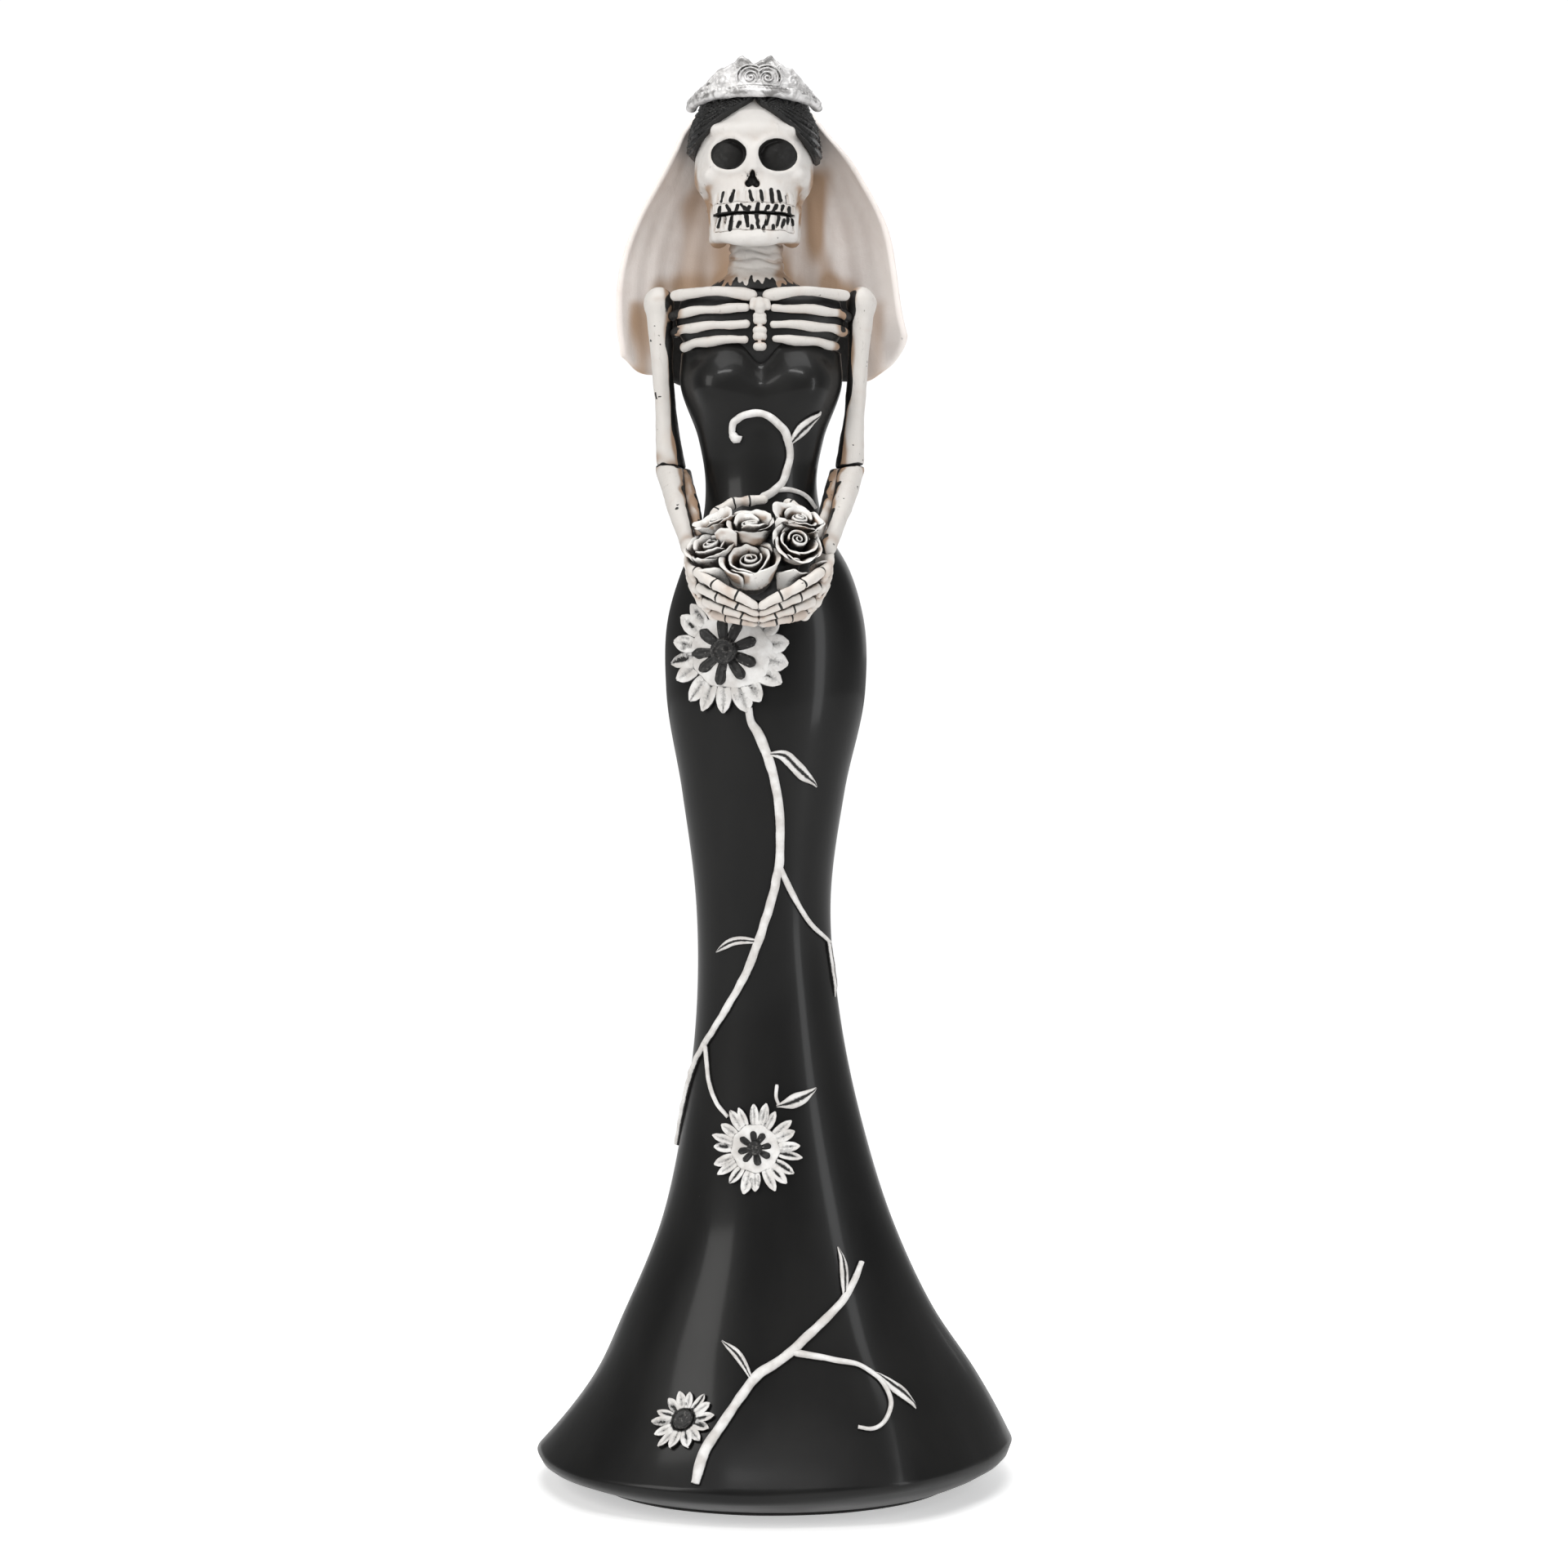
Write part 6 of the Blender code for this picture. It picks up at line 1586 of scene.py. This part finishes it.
def make_thumb(word, side, place):
    line, at_joints = route(THUMB, 25), (6, 13, 19)
    if side > 0:
        line, at_joints = line[:int(25 * LEFT_THUMB_LENGTH)], (6, 11)
    joints = [line[i] for i in at_joints]
    near = np.min([np.linalg.norm(line - joint, axis=1) for joint in joints], axis=0)
    b = Block(line.min(0) - 2.2, line.max(0) + 2.2, FINGER_STEP)
    b.add(b.chain(line, 0.92 + 0.3 * np.exp(-((near / 0.9) ** 2))))
    b.roughen(0.16, 1.6, 51)

    def ink_and_shade(points):
        amount = np.zeros(len(points))
        for i, joint in zip(at_joints, joints):
            ahead = unit(line[min(i + 1, len(line) - 1)] - line[i - 1])
            along = np.abs((points - joint) @ ahead + 0.15 * noise_at(points, 1.0, 5))
            close = np.linalg.norm(points - joint, axis=1) < 1.8
            amount = np.maximum(amount, np.clip(1.1 - along / 0.32, 0, 1) * close)
        return amount

    def wash_and_shade(points):
        return np.clip(0.3 + 0.8 * noise_at(points, 2.5, 45), 0, 1) * 0.6

    node = f"{word}_thumb"
    b.piece(node + "_carving", HAND, [node], fine=0.3, place=place, ink_and_shade=ink_and_shade, wash_and_shade=wash_and_shade)


def make_arm(word, side):
    place, seed = (None, 3) if side < 0 else (mirrored, 8)
    for i, (bone, *shape) in enumerate(LONG_BONES):
        long_bone(f"{word}_{bone}", *shape, seed + 2 * i, place)
    make_palm(word, place)
    for number in range(4):
        make_finger(word, number, place)
    make_thumb(word, side, place)


# ---------------------------------------------------------------- bouquet

# name, centre of its base, azimuth and elevation it faces, length, petals, radius of its rolled middle
ROSES = (
    ("front_rose", (-4.6, -25.4, 190.4), -6, 50, 7.2, (
        (-92, 116, 3.0, 4.6, 0.90, 0.25, 0.2), (-160, 120, 2.9, 5.2, 1.06, 0.9, 0.5),
        (-18, 120, 2.9, 5.3, 1.08, 0.9, 0.6), (88, 120, 2.6, 4.9, 1.1, 0.8, 0.4),
        (-125, 130, 2.2, 3.9, 0.95, 0.3, 0.3), (10, 140, 2.0, 3.8, 1.02, 0.35, 0.3),
        (125, 130, 1.8, 3.6, 1.06, 0.3, 0.3)), 2.3),
    ("right_rose", (-11.4, -23.2, 194.4), -34, 56, 6.2, (
        (-96, 104, 3.0, 4.5, 0.78, 0.5, 0.4), (-170, 110, 2.9, 4.6, 0.9, 1.0, 0.6),
        (-30, 110, 2.6, 4.5, 0.86, 0.9, 0.5), (60, 110, 2.4, 4.3, 1.02, 0.9, 0.5),
        (135, 120, 2.4, 4.3, 1.04, 0.9, 0.5), (-80, 130, 1.8, 3.3, 0.94, 0.4, 0.3),
        (40, 130, 1.6, 3.2, 1.0, 0.4, 0.3), (160, 120, 1.5, 3.1, 1.02, 0.3, 0.3)), 1.9),
    ("left_rose", (3.4, -24.6, 196.9), 22, 34, 5.4, (
        (-150, 112, 2.4, 4.2, 0.86, 1.0, 0.8), (-82, 100, 2.4, 4.3, 0.84, 1.1, 0.8),
        (-10, 108, 2.4, 4.2, 0.82, 1.0, 0.8), (60, 110, 2.2, 4.2, 0.9, 0.9, 0.7),
        (140, 110, 2.2, 4.2, 0.94, 0.9, 0.7), (-50, 140, 1.7, 3.2, 0.86, 0.5, 0.5),
        (80, 140, 1.6, 3.1, 0.9, 0.4, 0.5), (-160, 140, 1.6, 3.1, 0.88, 0.4, 0.5)), 1.9),
    ("top_rose", (-4.8, -22.6, 198.4), -6, 70, 5.6, (
        (-96, 140, 2.8, 4.3, 0.92, 1.4, 0.5), (-8, 110, 2.4, 4.1, 1.05, 0.9, 0.6),
        (170, 110, 2.4, 4.1, 1.08, 0.9, 0.6), (80, 130, 2.0, 3.9, 1.28, 0.8, 0.7),
        (-60, 130, 1.5, 2.9, 1.02, 0.3, 0.4), (120, 140, 1.4, 2.8, 1.16, 0.3, 0.4)), 1.6),
    ("upper_right_rose", (-11.0, -19.8, 200.4), -42, 66, 4.8, (
        (-90, 130, 1.9, 3.5, 0.92, 1.2, 0.8), (-10, 110, 1.8, 3.5, 1.0, 0.9, 0.7),
        (160, 120, 1.8, 3.5, 1.04, 1.1, 0.8), (75, 120, 1.6, 3.3, 1.16, 0.8, 0.6),
        (-40, 140, 1.2, 2.4, 0.98, 0.3, 0.4)), 1.3),
    ("upper_left_rose", (3.8, -20.8, 200.2), 30, 60, 5.6, (
        (-120, 112, 2.2, 4.4, 0.98, 1.3, 1.0), (-42, 116, 2.2, 4.6, 0.92, 1.3, 1.0),
        (40, 120, 2.2, 4.5, 1.04, 1.1, 0.9), (125, 116, 2.0, 4.3, 1.16, 1.0, 0.9),
        (-80, 130, 1.5, 3.1, 0.96, 0.5, 0.6), (60, 140, 1.4, 3.0, 1.04, 0.4, 0.6)), 1.5),
)
# rose it belongs to, base, azimuth and elevation it rises, length, petal
LOOSE_PETALS = (
    (1, (-10.8, -24.0, 188.6), -26, 66, 7.2, (-84, 110, 3.3, 4.3, 1.0, 0.4, 0.6)),
    (1, (-13.4, -21.6, 190.4), -58, 70, 6.4, (-90, 100, 2.2, 3.2, 1.0, 0.4, 0.5)),
    (2, (2.6, -24.2, 189.2), 20, 62, 6.4, (-96, 120, 3.0, 4.1, 1.0, 0.4, 0.8)),
    (2, (6.6, -21.6, 190.6), 48, 70, 6.2, (-90, 110, 2.2, 3.2, 1.0, 0.4, 0.8)),
    (3, (-8.4, -23.0, 196.6), -20, 66, 7.2, (-90, 84, 2.4, 3.2, 1.0, 0.5, 0.4)),
    (5, (0.6, -23.4, 198.6), 12, 74, 6.4, (-90, 70, 1.6, 2.1, 1.0, 0.4, 0.2)),
)


def outward(points, faces):
    """A closed surface with its faces turned outwards."""
    corner = [points[faces[:, k]] for k in range(4)]
    volume = np.sum(np.cross(corner[0], corner[1]) * corner[2])
    volume = volume + np.sum(np.cross(corner[0], corner[2]) * corner[3])
    return points, faces if volume > 0 else faces[:, ::-1]


def rose_axes(azimuth, elevation):
    """Unit vectors across, up and out of a rose that faces a direction."""
    a, e = math.radians(azimuth), math.radians(elevation)
    axis = np.array([math.cos(e) * math.sin(a), -math.cos(e) * math.cos(a), math.sin(e)])
    across = unit(np.cross((0, 0, 1), axis))
    return across, np.cross(axis, across), axis


PETAL_THICKNESS = 0.38


def rose_petal(base, axes, length, petal, seed):
    """A cupped petal. petal: turn, wrap, radius at the foot and at the rim, height, curl, ruffle."""
    turn, wrap, foot, rim, tall, curl, ruffle = petal
    across, upward, axis = axes
    v, u = np.linspace(0, 1, 26)[:, None], np.linspace(-1, 1, 33)[None]
    shape = np.sqrt(np.clip(1 - (1 - np.clip(v * 1.15, 0, 1)) ** 2, 0, 1))
    angle = np.radians(turn + wrap / 2 * u * (0.55 + 0.45 * shape))
    rim_edge = np.minimum(1 - np.abs(u), 1 - v) + 0 * u * v
    grids = []
    for sign in (1, -1):
        thick = PETAL_THICKNESS * np.sqrt(np.clip(1 - (1 - np.clip(rim_edge * 9, 0, 1)) ** 2, 0.03, 1))
        thick = thick * (1 + 0.4 * (1 - v))
        radius = foot + (rim - foot) * np.sin(v * np.pi / 2) ** 0.85 + 0.3 * u * v
        radius = radius + curl * v**5 * (1 - 0.35 * u**2)
        radius = radius + ruffle * 0.6 * v**2 * np.sin(3.1 * u + seed) + sign * thick
        height = length * tall * (v - 0.05 * abs(curl) * v**6) * (1 - 0.17 * v * np.abs(u) ** 3)
        height = height + sign * thick * 0.5 * v**3 + 0.2 * ruffle * v * np.sin(4.3 * u + seed * 2)
        around = np.cos(angle)[..., None] * across + np.sin(angle)[..., None] * upward
        spot = np.array(base) + radius[..., None] * around + height[..., None] * axis
        ragged = (0.12 + 0.28 * v**3) * noise_at(spot, 1.2, seed)
        grids.append(spot + ragged[..., None] * axis)
    points, faces = shell_mesh(grids[0], grids[1])
    # the rims are marked for the painted highlight
    edge = np.clip(1 - rim_edge * 7, 0, 1)
    # painted shade: dark towards each petal's foot, deep in the rose, and over its inner face; the veins and
    # blots are streaks of paint
    deep = ease(0.5, 0.1, v) + 0 * u
    inner = np.clip(deep + 0.6 * ease(0.95, 0.5, v), 0, 1)
    marks = np.concatenate([deep.ravel() * 0.85, inner.ravel()])
    veins = ease(0.25, 0.8, noise_at(points @ np.column_stack([across, upward, 0.25 * axis]), 0.9, seed + 3))
    blots = ease(0.30, 0.55, noise_at(points, 2.2, seed + 5))
    marks = np.clip(marks + 0.55 * veins * blots * (1 - 0.6 * np.concatenate([edge.ravel()] * 2)), 0, 1)
    return *outward(points, faces), marks, np.concatenate([edge.ravel()] * 2)


def rose_heart(base, axes, length, radius, seed):
    """The rolled middle of a rose: a spiral wall around a dark eye."""
    across, upward, axis = axes
    v = np.linspace(0, 1, 9)[:, None]
    turn = np.linspace(0, 2.1 * 2 * np.pi, 110)[None]
    grids = []
    for sign in (1, -1):
        thick = 0.24 * np.sqrt(np.clip(1 - (1 - np.clip((1 - v) * 6, 0, 1)) ** 2, 0.05, 1))
        reach = 0.35 + (radius - 0.35) * (turn / turn.max()) + 0.25 * v * (turn / turn.max()) + sign * thick
        height = length * (0.25 + v * (0.70 + 0.05 * np.sin(turn * 0.5 + seed)))
        spot = np.array(base) + reach[..., None] * (np.cos(turn + seed)[..., None] * across
                                                    + np.sin(turn + seed)[..., None] * upward)
        grids.append(spot + height[..., None] * axis)
    points, faces = shell_mesh(grids[0], grids[1])
    # painted shade: dark low down in the spiral
    deep = ease(0.9, 0.55, v) + 0 * turn
    edge = ease(0.75, 0.95, v) + 0 * turn
    return *outward(points, faces), np.concatenate([deep.ravel()] * 2), np.concatenate([edge.ravel()] * 2)


def make_bouquet():
    """Six roses and some loose petals around a dark core."""
    # the black core also stands for the shade in the gaps between the roses
    b = Block((-13, -28.5, 186.5), (7, -13.0, 206.0), 0.4)
    b.add(b.ball((-3.2, -20.6, 195.6), (8.4, 6.0, 8.0)))
    b.add(b.ball((-8.6, -20.4, 198.6), (4.2, 3.6, 4.2)), 1.5)
    b.add(b.ball((2.4, -20.6, 198.8), (4.2, 3.6, 4.2)), 1.5)
    b.roughen(0.7, 3.0, 3)
    b.roughen(0.3, 1.2, 4)
    b.piece("bouquet_heart", BLACK, ["bouquet_core"])
    for number, (name, base, azimuth, elevation, length, petals, heart) in enumerate(ROSES):
        axes = rose_axes(azimuth, elevation)
        parts = [rose_petal(base, axes, length, petal, number * 7 + i) for i, petal in enumerate(petals)]
        parts.append(rose_heart(base, axes, length, heart, number * 1.3))
        for owner, foot, turned, raised, tall, petal in LOOSE_PETALS:
            if owner == number:
                parts.append(rose_petal(foot, rose_axes(turned, raised), tall, petal, owner + 40))
        points, faces, crease, edge = joined(parts)
        stain = 0.8 * ease(0.0, 0.5, noise_at(points, 3.2, number + 60)) * (1 - edge)
        # the black follows the crease marks: painted shade deep in the cups, and the veins of paint
        marks = {"crease": crease * 0.95, "hollow": crease, "edge": edge, "wash_and_shade": stain,
                 "ink_and_shade": 0.75 * ease(0.7, 0.95, crease)}
        new_object(name + "_petals", points, faces, ROSE, [name], marks)


# ---------------------------------------------------------------- stage

SENSOR_WIDTH, LENS = 36, 56.2
CAMERA_PLACE, LIGHTS_AIM = (0.00194, -0.5277, 0.1496), (0, 0, 0.15)  # metres
SOFTBOXES = (  # name, place and size in metres, power, colour
    ("key_softbox", (-0.85, -0.80, 0.75), (0.55, 0.8), 7.6, (1.0, 0.99, 0.97)),
    ("fill_softbox", (0.85, -0.70, 0.45), (0.22, 0.9), 3.6, (0.98, 0.99, 1.0)),
    ("top_softbox", (0.05, -0.10, 1.10), (0.7, 0.5), 3.6, (1, 1, 1)),
    ("front_softbox", (-0.02, -0.62, 1.02), (0.40, 0.10), 2.6, (1, 1, 1)),
    ("back_softbox", (0.35, 0.9, 0.6), (1.0, 0.8), 2.5, (1, 1, 1)),
)
WORLD_GLOW, WORLD_SEEN = 0.25, 1.05  # strength for the object, and where the camera sees it
FLOOR_RADIUS, FLOOR_SIDES = 6, 64


def make_camera():
    """The view that the looks are made for."""
    camera = bpy.data.cameras.new("camera")
    camera.sensor_width, camera.lens = SENSOR_WIDTH, LENS
    camera.clip_start, camera.clip_end = 0.01, 20
    view = bpy.data.objects.new("camera", camera)
    view.location = CAMERA_PLACE
    view.rotation_euler = (math.radians(90), 0, 0)
    bpy.context.scene.collection.objects.link(view)
    bpy.context.scene.camera = view


def make_lights():
    """Soft boxes, all turned to the middle of the object."""
    for name, place, size, power, colour in SOFTBOXES:
        light = bpy.data.lights.new(name, "AREA")
        light.shape, light.size, light.size_y = "RECTANGLE", *size
        light.energy, light.color = power, colour
        lamp = bpy.data.objects.new(name, light)
        lamp.location = place
        lamp.rotation_euler = (Vector(LIGHTS_AIM) - Vector(place)).to_track_quat("-Z", "Y").to_euler()
        bpy.context.scene.collection.objects.link(lamp)


def make_world():
    """A white backdrop that lights the object less than it shows to the camera."""
    world = bpy.data.worlds.new("studio")
    world.use_nodes = True
    tree = world.node_tree
    backdrop = tree.nodes["Background"]
    backdrop.inputs["Color"].default_value = (1, 1, 1, 1)
    seen = tree.nodes.new("ShaderNodeLightPath").outputs["Is Camera Ray"]
    strength = tree.nodes.new("ShaderNodeMapRange")
    strength.inputs["To Min"].default_value = WORLD_GLOW
    strength.inputs["To Max"].default_value = WORLD_SEEN
    tree.links.new(seen, strength.inputs["Value"])
    tree.links.new(strength.outputs["Result"], backdrop.inputs["Strength"])
    bpy.context.scene.world = world
    bpy.context.scene.view_settings.view_transform = "Standard"


def make_floor():
    """A pale disc that fades into the backdrop away from the object."""
    mesh = bpy.data.meshes.new("floor")
    rim = [(FLOOR_RADIUS * math.cos(t), FLOOR_RADIUS * math.sin(t), 0)
           for t in np.linspace(0, 2 * np.pi, FLOOR_SIDES + 1)[:-1]]
    mesh.from_pydata(rim, [], [tuple(range(FLOOR_SIDES))])
    floor = bpy.data.objects.new("floor", mesh)
    p = Paint("pale_floor", roughness=0.8, specular=0.1)
    grain = p.noise(40.0, 3, 0.5)
    away = p.tree.nodes.new("ShaderNodeVectorMath")
    away.operation = "LENGTH"
    p.tree.links.new(p.spot, away.inputs[0])
    far = p.step(away.outputs["Value"], 0.10, 0.42)
    p.shader.inputs["Emission Color"].default_value = (1, 1, 1, 1)
    p.tree.links.new(p.step(far, 0.0, 1.0, 0.45, 1.0), p.shader.inputs["Emission Strength"])
    pale = p.mix(grain, (0.90, 0.90, 0.90), (0.93, 0.93, 0.93))
    mesh.materials.append(p.finish(p.mix(far, pale, (0.02, 0.02, 0.02))))
    bpy.context.scene.collection.objects.link(floor)


make_camera()
make_lights()
make_world()
make_floor()
make_gown()
make_felt()
make_vines()
make_flowers()
make_upper_head()
make_lower_head()
make_neck()
make_hair()
make_tiara()
make_tiara_heart()
make_veil()
make_chest()
make_arm("right", -1)
make_arm("left", 1)
make_bouquet()
